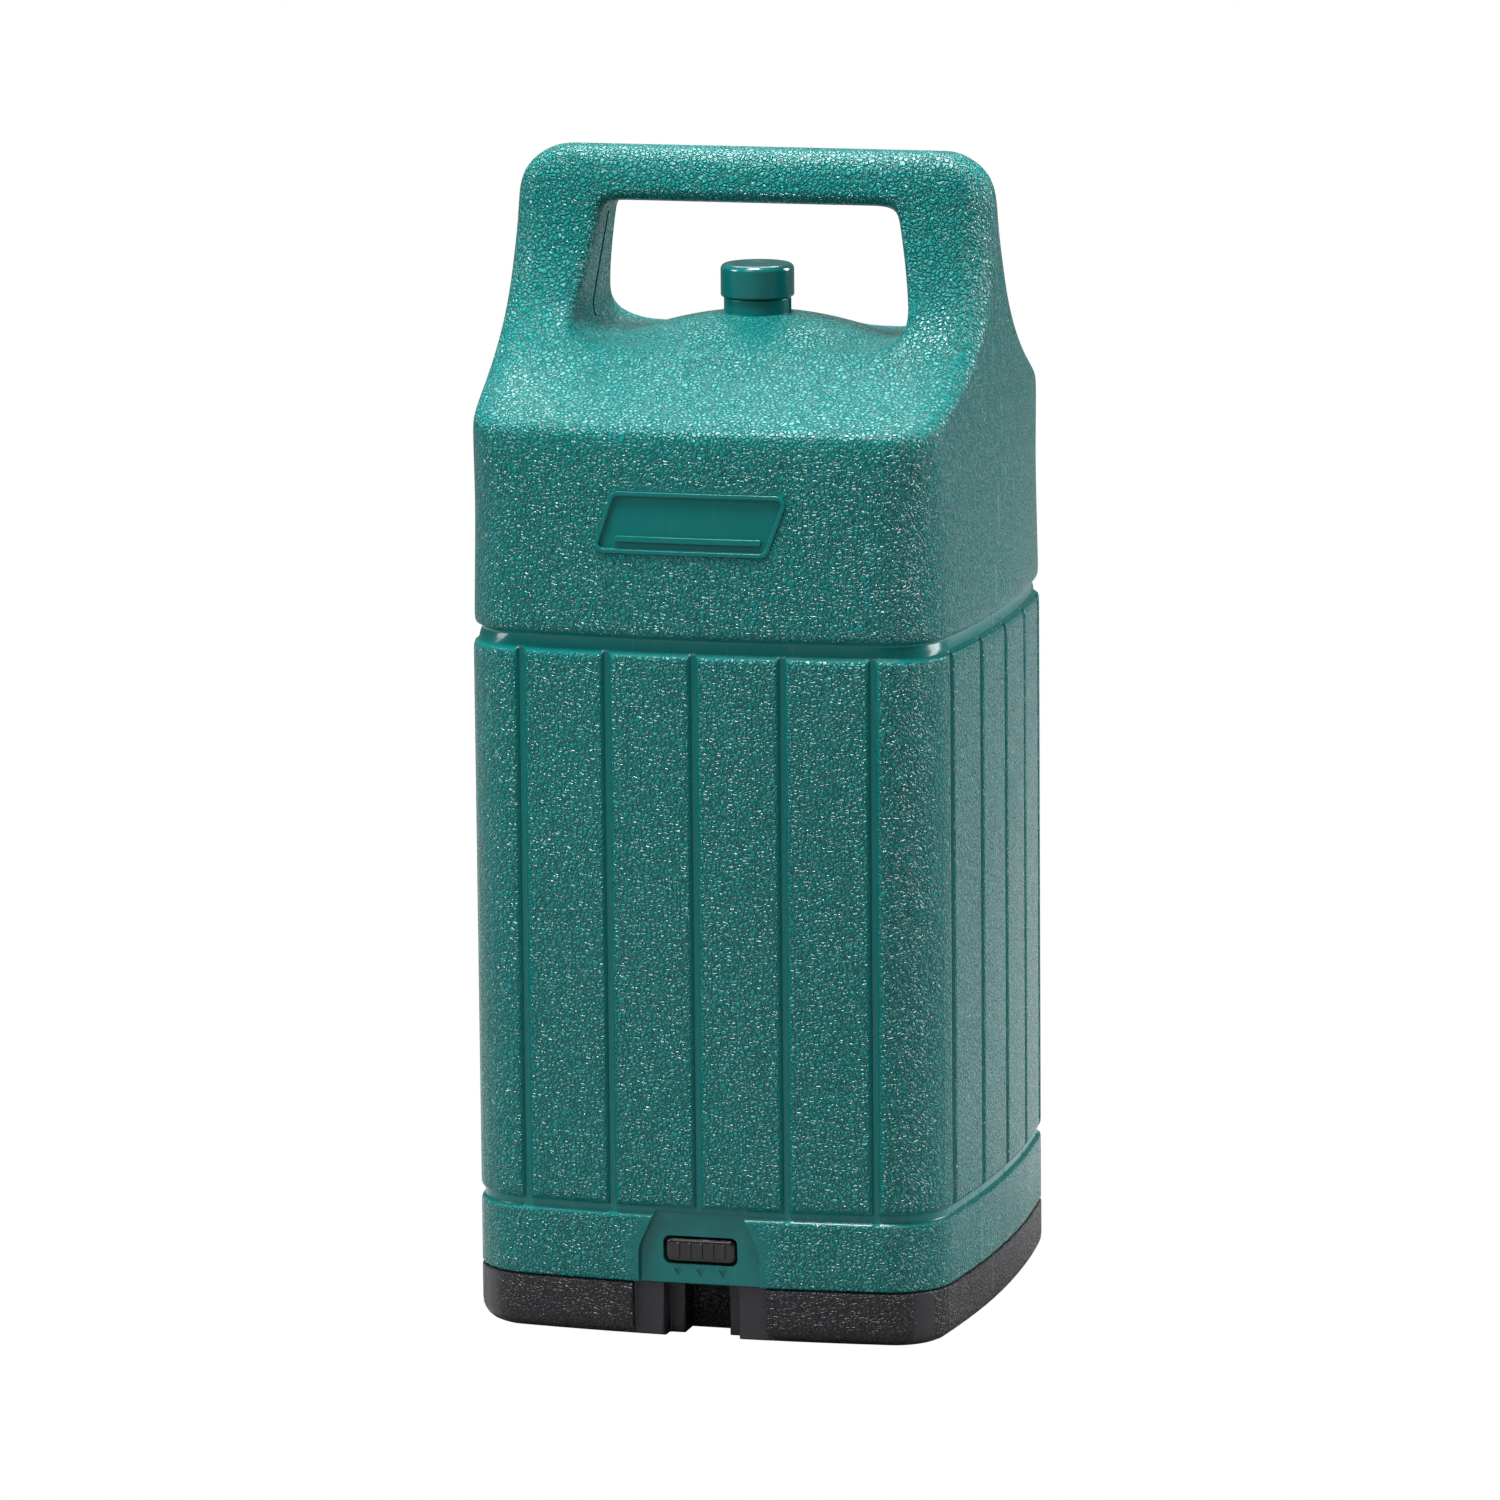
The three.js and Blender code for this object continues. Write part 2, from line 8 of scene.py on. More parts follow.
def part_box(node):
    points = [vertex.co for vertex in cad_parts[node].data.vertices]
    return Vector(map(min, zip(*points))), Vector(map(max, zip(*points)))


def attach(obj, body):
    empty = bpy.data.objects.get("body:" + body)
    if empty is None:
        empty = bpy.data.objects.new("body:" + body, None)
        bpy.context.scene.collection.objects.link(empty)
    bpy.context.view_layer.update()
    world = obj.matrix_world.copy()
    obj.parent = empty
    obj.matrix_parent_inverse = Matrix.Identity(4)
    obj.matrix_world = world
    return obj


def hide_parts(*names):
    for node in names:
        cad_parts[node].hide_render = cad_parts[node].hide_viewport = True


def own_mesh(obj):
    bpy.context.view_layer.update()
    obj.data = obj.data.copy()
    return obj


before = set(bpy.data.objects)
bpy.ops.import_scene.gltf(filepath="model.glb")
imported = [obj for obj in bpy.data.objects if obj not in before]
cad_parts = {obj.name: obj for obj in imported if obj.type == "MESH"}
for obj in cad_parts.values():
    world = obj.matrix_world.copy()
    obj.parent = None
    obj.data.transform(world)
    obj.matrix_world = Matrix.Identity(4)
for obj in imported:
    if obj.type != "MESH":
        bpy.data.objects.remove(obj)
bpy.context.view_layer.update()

# ---- Studio ------------------------------------------------------------------------------------
# A white table in a bright studio: a large soft light overhead, one at each side, and a long lens a
# little above the case and to its right.

scene = bpy.context.scene
scene.view_settings.view_transform = "Standard"

CAMERA_PLACE = (0.9288, -3.387, 0.8634)
CAMERA_TURN = math.radians(15.41)
CAMERA_DOWN = math.radians(10.43)
CAMERA_ROLL = math.radians(-0.52)

bpy.ops.object.select_all(action="DESELECT")
bpy.ops.object.camera_add()
camera = bpy.context.object
camera.name = "studio_camera"
camera.data.lens = 216
camera.data.sensor_width = 36
camera.data.clip_end = 50
camera.matrix_world = (
    Matrix.Translation(CAMERA_PLACE)
    @ Matrix.Rotation(CAMERA_TURN, 4, "Z")
    @ Matrix.Rotation(math.pi / 2 - CAMERA_DOWN, 4, "X")
    @ Matrix.Rotation(CAMERA_ROLL, 4, "Z")
)
scene.camera = camera


def soft_light(name, place, aim, size, power):
    bpy.ops.object.light_add(type="AREA", location=place)
    light = bpy.context.object
    light.name = name
    light.data.shape = "DISK"
    light.data.size = size
    light.data.energy = power
    light.rotation_euler = (Vector(aim) - Vector(place)).to_track_quat("-Z", "Y").to_euler()
    return light


soft_light("top_light", (-0.1, -0.35, 1.9), (0, 0, 0.35), 0.6, 61)
soft_light("rear_light", (-0.3, 0.85, 1.75), (0, 0, 0.35), 1.2, 44)
soft_light("right_light", (1.9, 1.0, 0.9), (0, 0, 0.25), 1.3, 58)
soft_light("left_light", (-2.0, -0.9, 1.2), (0, 0, 0.25), 0.9, 27)
soft_light("front_light", (-0.6, -2.1, 2.1), (0, 0, 0.25), 1.0, 13)

world = bpy.data.worlds.new("studio_world")
scene.world = world
world.use_nodes = True
world_nodes = world.node_tree.nodes
world_links = world.node_tree.links
world_nodes.clear()
world_out = world_nodes.new("ShaderNodeOutputWorld")
world_mix = world_nodes.new("ShaderNodeMixShader")
world_seen = world_nodes.new("ShaderNodeBackground")
world_seen.inputs["Color"].default_value = (1, 1, 1, 1)
world_fill = world_nodes.new("ShaderNodeBackground")
world_fill.inputs["Color"].default_value = (0.97, 0.985, 1, 1)
world_fill.inputs["Strength"].default_value = 0.17
world_path = world_nodes.new("ShaderNodeLightPath")
world_links.new(world_path.outputs["Is Camera Ray"], world_mix.inputs[0])
world_links.new(world_fill.outputs[0], world_mix.inputs[1])
world_links.new(world_seen.outputs[0], world_mix.inputs[2])
world_links.new(world_mix.outputs[0], world_out.inputs["Surface"])

bpy.ops.object.select_all(action="DESELECT")
bpy.ops.mesh.primitive_plane_add(size=6, location=(0, 0, -0.0004))
floor = bpy.context.object
floor.name = "studio_floor"
floor_paint = bpy.data.materials.new("studio_floor")
floor_paint.use_nodes = True
floor_paint.node_tree.nodes["Principled BSDF"].inputs["Base Color"].default_value = (0.3, 0.3, 0.3, 1)
floor_paint.node_tree.nodes["Principled BSDF"].inputs["Roughness"].default_value = 0.9
floor_nodes, floor_links = floor_paint.node_tree.nodes, floor_paint.node_tree.links
floor_white = floor_nodes.new("ShaderNodeEmission")
floor_mix = floor_nodes.new("ShaderNodeMixShader")
floor_path = floor_nodes.new("ShaderNodeLightPath")
floor_links.new(floor_path.outputs["Is Camera Ray"], floor_mix.inputs[0])
floor_links.new(floor_nodes["Principled BSDF"].outputs[0], floor_mix.inputs[1])
floor_links.new(floor_white.outputs[0], floor_mix.inputs[2])
floor_links.new(floor_mix.outputs[0], floor_nodes["Material Output"].inputs["Surface"])
floor.data.materials.append(floor_paint)

# ---- Base tray ---------------------------------------------------------------------------------
# A low blow-moulded tray with the same grain in charcoal black. Its rim carries the cover, a smooth
# spigot stands up inside it, and the finger pulls step back into it under both latches.

mm = 0.001
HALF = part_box("cover_shell")[1][0] / mm
WALL = 3.0
BOW = 0.07
CORNER = 20.0
TRAY_TOP = 22.0
SPIGOT_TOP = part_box("base_tray")[1][2] / mm
SPIGOT = 96.2
EDGE_ROUND = 8.0
edge_rows = []
for step in range(7):
    angle = math.radians(90 * step / 6)
    edge_rows.append((EDGE_ROUND * (1 - math.cos(angle)) * 0.95, HALF - EDGE_ROUND * (1 - math.sin(angle))))

# Tray rows, up the outside and down the inside: height, and half width.
TRAY_ROWS = edge_rows + [
    (12, HALF), (17, HALF), (20.6, HALF), (21.4, 99.85), (21.85, 99.4), (TRAY_TOP, 98.8),
    (TRAY_TOP, SPIGOT + 0.6), (TRAY_TOP + 0.2, SPIGOT + 0.15), (TRAY_TOP + 0.7, SPIGOT), (30, SPIGOT),
    (44, SPIGOT), (SPIGOT_TOP - 1.2, SPIGOT), (SPIGOT_TOP - 0.4, SPIGOT - 0.3),
    (SPIGOT_TOP, SPIGOT - 1.0), (SPIGOT_TOP, SPIGOT - 2.2),
    (SPIGOT_TOP - 0.5, SPIGOT - WALL), (35, SPIGOT - WALL), (21.2, SPIGOT - WALL), (17.5, HALF - WALL),
    (8, HALF - WALL), (4.5, HALF - WALL - 1.2), (3.0, HALF - WALL - 4.5), (3.0, HALF - 30),
]


def bowed(x, y):
    return x * (1 - BOW * (y / HALF) ** 2), y * (1 - BOW * (x / HALF) ** 2)


def plan_ring(half_x, half_y, corner, stops_x, stops_y, corner_steps):
    """Points round the case's plan: front face, corner, right face, corner, rear face and so on."""
    ring = []
    sides = (
        (lambda s: (s, -half_y), stops_x, (1, -1), -90),
        (lambda s: (half_x, s), stops_y, (1, 1), 0),
        (lambda s: (-s, half_y), stops_x, (-1, 1), 90),
        (lambda s: (-half_x, -s), stops_y, (-1, -1), 180),
    )
    for point, stops, (sx, sy), start in sides:
        ring += [bowed(*point(stop)) for stop in stops]
        cx, cy = sx * (half_x - corner), sy * (half_y - corner)
        for step in range(corner_steps + 1):
            angle = math.radians(start + 90 * step / corner_steps)
            ring.append(bowed(cx + corner * math.cos(angle), cy + corner * math.sin(angle)))
    return ring


def named(name):
    """The object a primitive operator has just made, with its name given to it and to its mesh."""
    made = bpy.context.object
    made.name = name
    made.data.name = name
    return made


def activate(obj):
    bpy.ops.object.select_all(action="DESELECT")
    obj.select_set(True)
    bpy.context.view_layer.objects.active = obj


def leave_closed():
    """Turns every face of the mesh being edited outwards and leaves edit mode."""
    bpy.ops.mesh.select_all(action="SELECT")
    bpy.ops.mesh.normals_make_consistent(inside=False)
    bpy.ops.object.mode_set(mode="OBJECT")


def edit(obj):
    activate(obj)
    bpy.ops.object.mode_set(mode="EDIT")
    bpy.ops.mesh.select_all(action="DESELECT")
    return bmesh.from_edit_mesh(obj.data)


def choose_edges(obj, test):
    cage = bmesh.from_edit_mesh(obj.data)
    for edge in cage.edges:
        edge.select_set(test(*[vertex.co / mm for vertex in edge.verts], edge))
    bmesh.update_edit_mesh(obj.data)


def grid_tube(name, rings):
    """Rolls a grid primitive into an open tube through the rings, each a list of (x, y, z) in mm."""
    columns = len(rings[0])
    bpy.ops.object.select_all(action="DESELECT")
    bpy.ops.mesh.primitive_grid_add(x_subdivisions=columns, y_subdivisions=len(rings) - 1, size=1)
    tube = named(name)
    for index, vertex in enumerate(tube.data.vertices):
        row, column = divmod(index, columns + 1)
        vertex.co = Vector(rings[row][column % columns]) * mm
    bpy.ops.object.mode_set(mode="EDIT")
    bpy.ops.mesh.select_all(action="SELECT")
    bpy.ops.mesh.remove_doubles(threshold=1e-7)
    bpy.ops.mesh.normals_make_consistent(inside=False)
    bpy.ops.mesh.select_all(action="DESELECT")
    bpy.ops.object.mode_set(mode="OBJECT")
    return tube


def tray_ring(z, half):
    corner = max(8.0, CORNER - (HALF - half))
    stops = [stop / 93 * half for stop in (-66, -52, -39, -26, -13, 0, 13, 26, 39, 52, 66)]
    return [(x, y, z) for x, y in plan_ring(half, half, corner, stops, stops, 10)]


tray = grid_tube("base_tray_moulding", [tray_ring(z, half) for z, half in TRAY_ROWS])
edit(tray)
bpy.ops.mesh.select_mode(type="EDGE")
for low, high in ((-1, 0.5), (2.5, 3.5)):
    choose_edges(tray, lambda a, b, edge: edge.is_boundary and low < a.z < high and low < b.z < high)
    bpy.ops.mesh.edge_face_add()
leave_closed()


def cut_away(obj, cutter, operation="DIFFERENCE", solver="EXACT"):
    """Joins or cuts with a second closed mesh, which is used up."""
    for each in (obj, cutter):
        each.select_set(False)
    change = obj.modifiers.new("change", "BOOLEAN")
    change.operation = operation
    change.solver = solver
    change.object = cutter
    bpy.context.view_layer.objects.active = obj
    bpy.ops.object.modifier_apply(modifier=change.name)
    bpy.data.objects.remove(cutter, do_unlink=True)


def block(name, low, high, rounding=0.0, segments=3, upright_only=False):
    """A cube between two corners in mm, its edges rounded with the bevel operator."""
    bpy.ops.object.select_all(action="DESELECT")
    bpy.ops.mesh.primitive_cube_add(size=1)
    made = named(name)
    for vertex in made.data.vertices:
        for axis in range(3):
            vertex.co[axis] = (low if vertex.co[axis] < 0 else high)[axis] * mm
    if rounding:
        bpy.ops.object.mode_set(mode="EDIT")
        bpy.ops.mesh.select_mode(type="EDGE")
        if upright_only:
            choose_edges(made, lambda a, b, edge: abs(a.x - b.x) < 0.001 and abs(a.z - b.z) < 0.001)
        else:
            bpy.ops.mesh.select_all(action="SELECT")
        bpy.ops.mesh.bevel(offset=rounding * mm, segments=segments, profile=0.5)
        bpy.ops.object.mode_set(mode="OBJECT")
    return made


def round_bar(name, radius, start, end, axis="Z", sides=40, rounding=0.0):
    """A cylinder primitive between two points on a line along one axis, with rounded rims."""
    bpy.ops.object.select_all(action="DESELECT")
    middle = [(a + b) / 2 * mm for a, b in zip(start, end)]
    length = sum(abs(a - b) for a, b in zip(start, end)) * mm
    bpy.ops.mesh.primitive_cylinder_add(vertices=sides, radius=radius * mm, depth=length)
    made = named(name)
    if rounding:
        bpy.ops.object.mode_set(mode="EDIT")
        bpy.ops.mesh.select_mode(type="EDGE")
        choose_edges(made, lambda a, b, edge: abs(a.z - b.z) < 0.001)
        bpy.ops.mesh.bevel(offset=rounding * mm, segments=4, profile=0.5)
        bpy.ops.object.mode_set(mode="OBJECT")
    turn = Matrix.Rotation(math.pi / 2, 4, "X") if axis == "Y" else Matrix.Identity(4)
    made.data.transform(Matrix.Translation(middle) @ turn)
    return made


def prism(name, outline, y_low, y_high):
    """A plane primitive whose outline is drawn in X and Z, pushed through along Y."""
    bpy.ops.object.select_all(action="DESELECT")
    bpy.ops.mesh.primitive_circle_add(vertices=len(outline), fill_type="NGON")
    made = named(name)
    for vertex, (x, z) in zip(made.data.vertices, outline):
        vertex.co = Vector((x, y_low, z)) * mm
    bpy.ops.object.mode_set(mode="EDIT")
    bpy.ops.mesh.select_all(action="SELECT")
    bpy.ops.mesh.extrude_region_move(TRANSFORM_OT_translate={"value": (0, (y_high - y_low) * mm, 0)})
    leave_closed()
    return made


def rounded_outline(corners, steps=5):
    """Outline through (x, z, radius) corners, each rounded with an arc-like curve."""
    outline = []
    for index, (x, z, radius) in enumerate(corners):
        here = Vector((x, z))
        back = (Vector(corners[index - 1][:2]) - here).normalized()
        onward = (Vector(corners[(index + 1) % len(corners)][:2]) - here).normalized()
        if radius == 0:
            outline.append(tuple(here))
            continue
        half_angle = back.angle(onward) / 2
        reach = radius / math.tan(half_angle)
        start, end = here + back * reach, here + onward * reach
        centre = here + (back + onward).normalized() * radius / math.sin(half_angle)
        for step in range(steps + 1):
            point = start.lerp(end, step / steps) - centre
            outline.append(tuple(centre + point.normalized() * radius))
    return outline


def latch_window(grow):
    return rounded_outline([
        (-15 - grow, 30 - grow, 2.6), (15 + grow, 30 - grow, 2.6),
        (15 + grow, 41.2 + grow, 2.6), (-15 - grow, 41.2 + grow, 2.6),
    ])


PULL_STEPS = ((27.0, 4.0, TRAY_TOP - 0.5, 30), (15.3, 12.5, TRAY_TOP + 2.9, TRAY_TOP - 0.1),
              (9.0, 23.0, TRAY_TOP + 2.9, TRAY_TOP - 0.1))
LATCH_WALL = (-93.6, -90.6)
LATCH_MIDDLE = 35.55
LATCH_SCREWS = (-33, 33)
DECK_SCREWS = (-64, 64)
for turn in (0, math.pi):
    added = [block("pull_wall", (-half - WALL, -97.4, 1.5), (half + WALL, -HALF + deep + WALL, top))
             for half, deep, top, _ in PULL_STEPS]
    added.append(block("latch_wall", (-42, -94.7, 19), (42, LATCH_WALL[1], SPIGOT_TOP - 0.5)))
    removed = [block("pull_cut", (-half, -110, -5), (half, -HALF + deep, top), 1.4 if half > 20 else 0.9,
                     upright_only=True) for half, deep, _, top in PULL_STEPS]
    removed.append(block("plate_room", (-28.5, -110, TRAY_TOP), (28.5, LATCH_WALL[0], 60)))
    removed.append(prism("button_hole", latch_window(-0.4), -96, -86))
    removed += [round_bar("screw_hole", 1.8, (x, -94.4, LATCH_MIDDLE), (x, -84, LATCH_MIDDLE), "Y", 20)
                for x in LATCH_SCREWS]
    for shapes, operation in ((added, "UNION"), (removed, "DIFFERENCE")):
        for shape in shapes:
            shape.data.transform(Matrix.Rotation(turn, 4, "Z"))
            cut_away(tray, shape, operation)
for sx in DECK_SCREWS:
    for sy in DECK_SCREWS:
        cut_away(tray, round_bar("boss", 5.5, (sx, sy, 2), (sx, sy, 20.7), sides=28), "UNION")
        cut_away(tray, round_bar("boss_hole", 2.2, (sx, sy, 7), (sx, sy, 22), sides=20))


def soften(obj, degrees=35):
    """Shades smooth up to an angle, with normals weighted by face area so that flats stay flat."""
    activate(obj)
    bpy.ops.object.shade_smooth_by_angle(angle=math.radians(degrees))
    even = obj.modifiers.new("even_normals", "WEIGHTED_NORMAL")
    even.keep_sharp = True
    bpy.ops.object.modifier_apply(modifier=even.name)


def is_mouth(a, b, edge):
    """Upright edges where the pull's steps meet the faces outside them."""
    upright = abs(a.x - b.x) < 0.05 and abs(a.y - b.y) < 0.05 and abs(a.z - b.z) > 1.0
    on_side = min(abs(abs(a.x) - half) for half, *_ in PULL_STEPS) < 0.1
    beside = on_side and abs(a.y) > 80 and max(a.z, b.z) < 22.3
    return upright and beside and edge.calc_face_angle(0.0) > math.radians(60)


edit(tray)
bpy.ops.mesh.select_mode(type="EDGE")
choose_edges(tray, is_mouth)
bpy.ops.mesh.bevel(offset=0.9 * mm, segments=3, profile=0.5)
bpy.ops.object.mode_set(mode="OBJECT")
soften(tray, 32)

grain = tray.data.attributes.new("grain", "FLOAT", "POINT")
for index, vertex in enumerate(tray.data.vertices):
    x, y, z = (abs(v) / mm for v in vertex.co)
    in_pull = x < 27.3 and y > 87 and y < 96.6
    outer = max(x, y) > 91 and z < TRAY_TOP - 0.1 and not in_pull
    pocket = x < 9.2 and 76.5 < y < 87.4 and z < TRAY_TOP
    grain.data[index].value = 1.0 if (outer and y < 100.5) or pocket else 0.12


def new_node(tree, kind, settings=None, **inputs):
    node = tree.nodes.new(kind)
    for key, value in (settings or {}).items():
        setattr(node, key, value)
    for key, value in inputs.items():
        node.inputs[key.replace("_", " ")].default_value = value
    return node


def number(tree, operation, first, second, clamp=False):
    node = tree.nodes.new("ShaderNodeMath")
    node.operation = operation
    node.use_clamp = clamp
    for socket, value in zip(node.inputs, (first, second)):
        if isinstance(value, (int, float)):
            socket.default_value = value
        else:
            tree.links.new(value, socket)
    return node.outputs[0]


def ramp(tree, value, low, high, to_low=0.0, to_high=1.0):
    node = tree.nodes.new("ShaderNodeMapRange")
    node.interpolation_type = "SMOOTHSTEP"
    for socket, setting in zip(node.inputs[1:5], (low, high, to_low, to_high)):
        socket.default_value = setting
    tree.links.new(value, node.inputs[0])
    return node.outputs[0]


def start_group(name, inputs, outputs):
    group = bpy.data.node_groups.new(name, "ShaderNodeTree")
    for label, kind, value in inputs:
        socket = group.interface.new_socket(label, in_out="INPUT", socket_type=kind)
        if value is not None:
            socket.default_value = value
    for label in outputs:
        group.interface.new_socket(label, in_out="OUTPUT", socket_type="NodeSocketFloat")
    return group, group.nodes.new("NodeGroupInput"), group.nodes.new("NodeGroupOutput")


def mix_colors(tree, factor, first, second):
    node = new_node(tree, "ShaderNodeMix", {"data_type": "RGBA"})
    node.inputs["A"].default_value = (*first, 1)
    node.inputs["B"].default_value = (*second, 1)
    tree.links.new(factor, node.inputs["Factor"])
    return node.outputs["Result"]


def add_bump(tree, height, strength, distance):
    node = new_node(tree, "ShaderNodeBump", Strength=strength, Distance=distance)
    tree.links.new(height, node.inputs["Height"])
    tree.links.new(node.outputs["Normal"], tree.nodes["Principled BSDF"].inputs["Normal"])


# Leather grain: warped pebbles of uneven size, parted by creases, with long folds across them. Its second
# output marks the creases, where the material paints shade.
leather_grain, given, result = start_group(
    "leather_grain",
    [("Vector", "NodeSocketVector", None), ("Pebble", "NodeSocketFloat", 0.0017)],
    ["Height", "Crease Shade"],
)
tree = leather_grain
inverse = number(tree, "DIVIDE", 1.0, given.outputs["Pebble"])
warp = new_node(tree, "ShaderNodeTexNoise", Detail=2.0)
tree.links.new(given.outputs["Vector"], warp.inputs["Vector"])
tree.links.new(number(tree, "MULTIPLY", inverse, 0.42), warp.inputs["Scale"])
warp_shift = new_node(tree, "ShaderNodeVectorMath", {"operation": "SUBTRACT"})
warp_shift.inputs[1].default_value = (0.5, 0.5, 0.5)
tree.links.new(warp.outputs["Color"], warp_shift.inputs[0])
warp_size = new_node(tree, "ShaderNodeVectorMath", {"operation": "SCALE"})
tree.links.new(warp_shift.outputs[0], warp_size.inputs[0])
tree.links.new(number(tree, "MULTIPLY", given.outputs["Pebble"], 2.1), warp_size.inputs["Scale"])
warped = new_node(tree, "ShaderNodeVectorMath", {"operation": "ADD"})
tree.links.new(given.outputs["Vector"], warped.inputs[0])
tree.links.new(warp_size.outputs[0], warped.inputs[1])
pebbles = new_node(tree, "ShaderNodeTexVoronoi", {"feature": "DISTANCE_TO_EDGE"}, Randomness=1.0)
tree.links.new(warped.outputs[0], pebbles.inputs["Vector"])
tree.links.new(inverse, pebbles.inputs["Scale"])
folds = new_node(tree, "ShaderNodeTexNoise", {"noise_type": "RIDGED_MULTIFRACTAL"}, Detail=1.0)
tree.links.new(warped.outputs[0], folds.inputs["Vector"])
tree.links.new(number(tree, "MULTIPLY", inverse, 0.16), folds.inputs["Scale"])
fine = new_node(tree, "ShaderNodeTexNoise", Detail=2.0)
tree.links.new(given.outputs["Vector"], fine.inputs["Vector"])
tree.links.new(number(tree, "MULTIPLY", inverse, 2.6), fine.inputs["Scale"])
domes = ramp(tree, pebbles.outputs["Distance"], 0.0, 0.26)
swell = number(tree, "MULTIPLY", ramp(tree, folds.outputs[0], 0.25, 1.1), -0.55)
height = number(tree, "ADD", domes, swell)
height = number(tree, "ADD", height, number(tree, "MULTIPLY", fine.outputs[0], 0.28))
tree.links.new(height, result.inputs["Height"])
tree.links.new(ramp(tree, pebbles.outputs["Distance"], 0.0, 0.13, 1.0, 0.0), result.inputs["Crease Shade"])

# Rubs and sheen: pale upright scratches and smudges, in patches. On the side faces of the grained plastic
# they are partly wear and partly a painted sheen.
rubs_and_sheen, given, result = start_group(
    "rubs_and_sheen",
    [("Vector", "NodeSocketVector", None), ("Amount", "NodeSocketFloat", 0.5)],
    ["Rub", "Smudge"],
)
tree = rubs_and_sheen
stretch = new_node(tree, "ShaderNodeMapping", Scale=(420, 420, 26))
tree.links.new(given.outputs["Vector"], stretch.inputs["Vector"])
streaks = new_node(tree, "ShaderNodeTexNoise", Scale=1.0, Detail=3.0, Roughness=0.6)
tree.links.new(stretch.outputs[0], streaks.inputs["Vector"])
patches = new_node(tree, "ShaderNodeTexNoise", Scale=13.0, Detail=3.0)
tree.links.new(given.outputs["Vector"], patches.inputs["Vector"])
specks = new_node(tree, "ShaderNodeTexNoise", Scale=900.0, Detail=1.0)
tree.links.new(given.outputs["Vector"], specks.inputs["Vector"])
patch = ramp(tree, patches.outputs[0], 0.42, 0.72)
streak = number(tree, "MULTIPLY", ramp(tree, streaks.outputs[0], 0.55, 0.8), patch)
rub_sheen_level = number(tree, "MULTIPLY", number(tree, "ADD", streak, number(
    tree, "MULTIPLY", ramp(tree, specks.outputs[0], 0.62, 0.8), 0.35)), given.outputs["Amount"], True)
tree.links.new(rub_sheen_level, result.inputs["Rub"])
tree.links.new(patch, result.inputs["Smudge"])


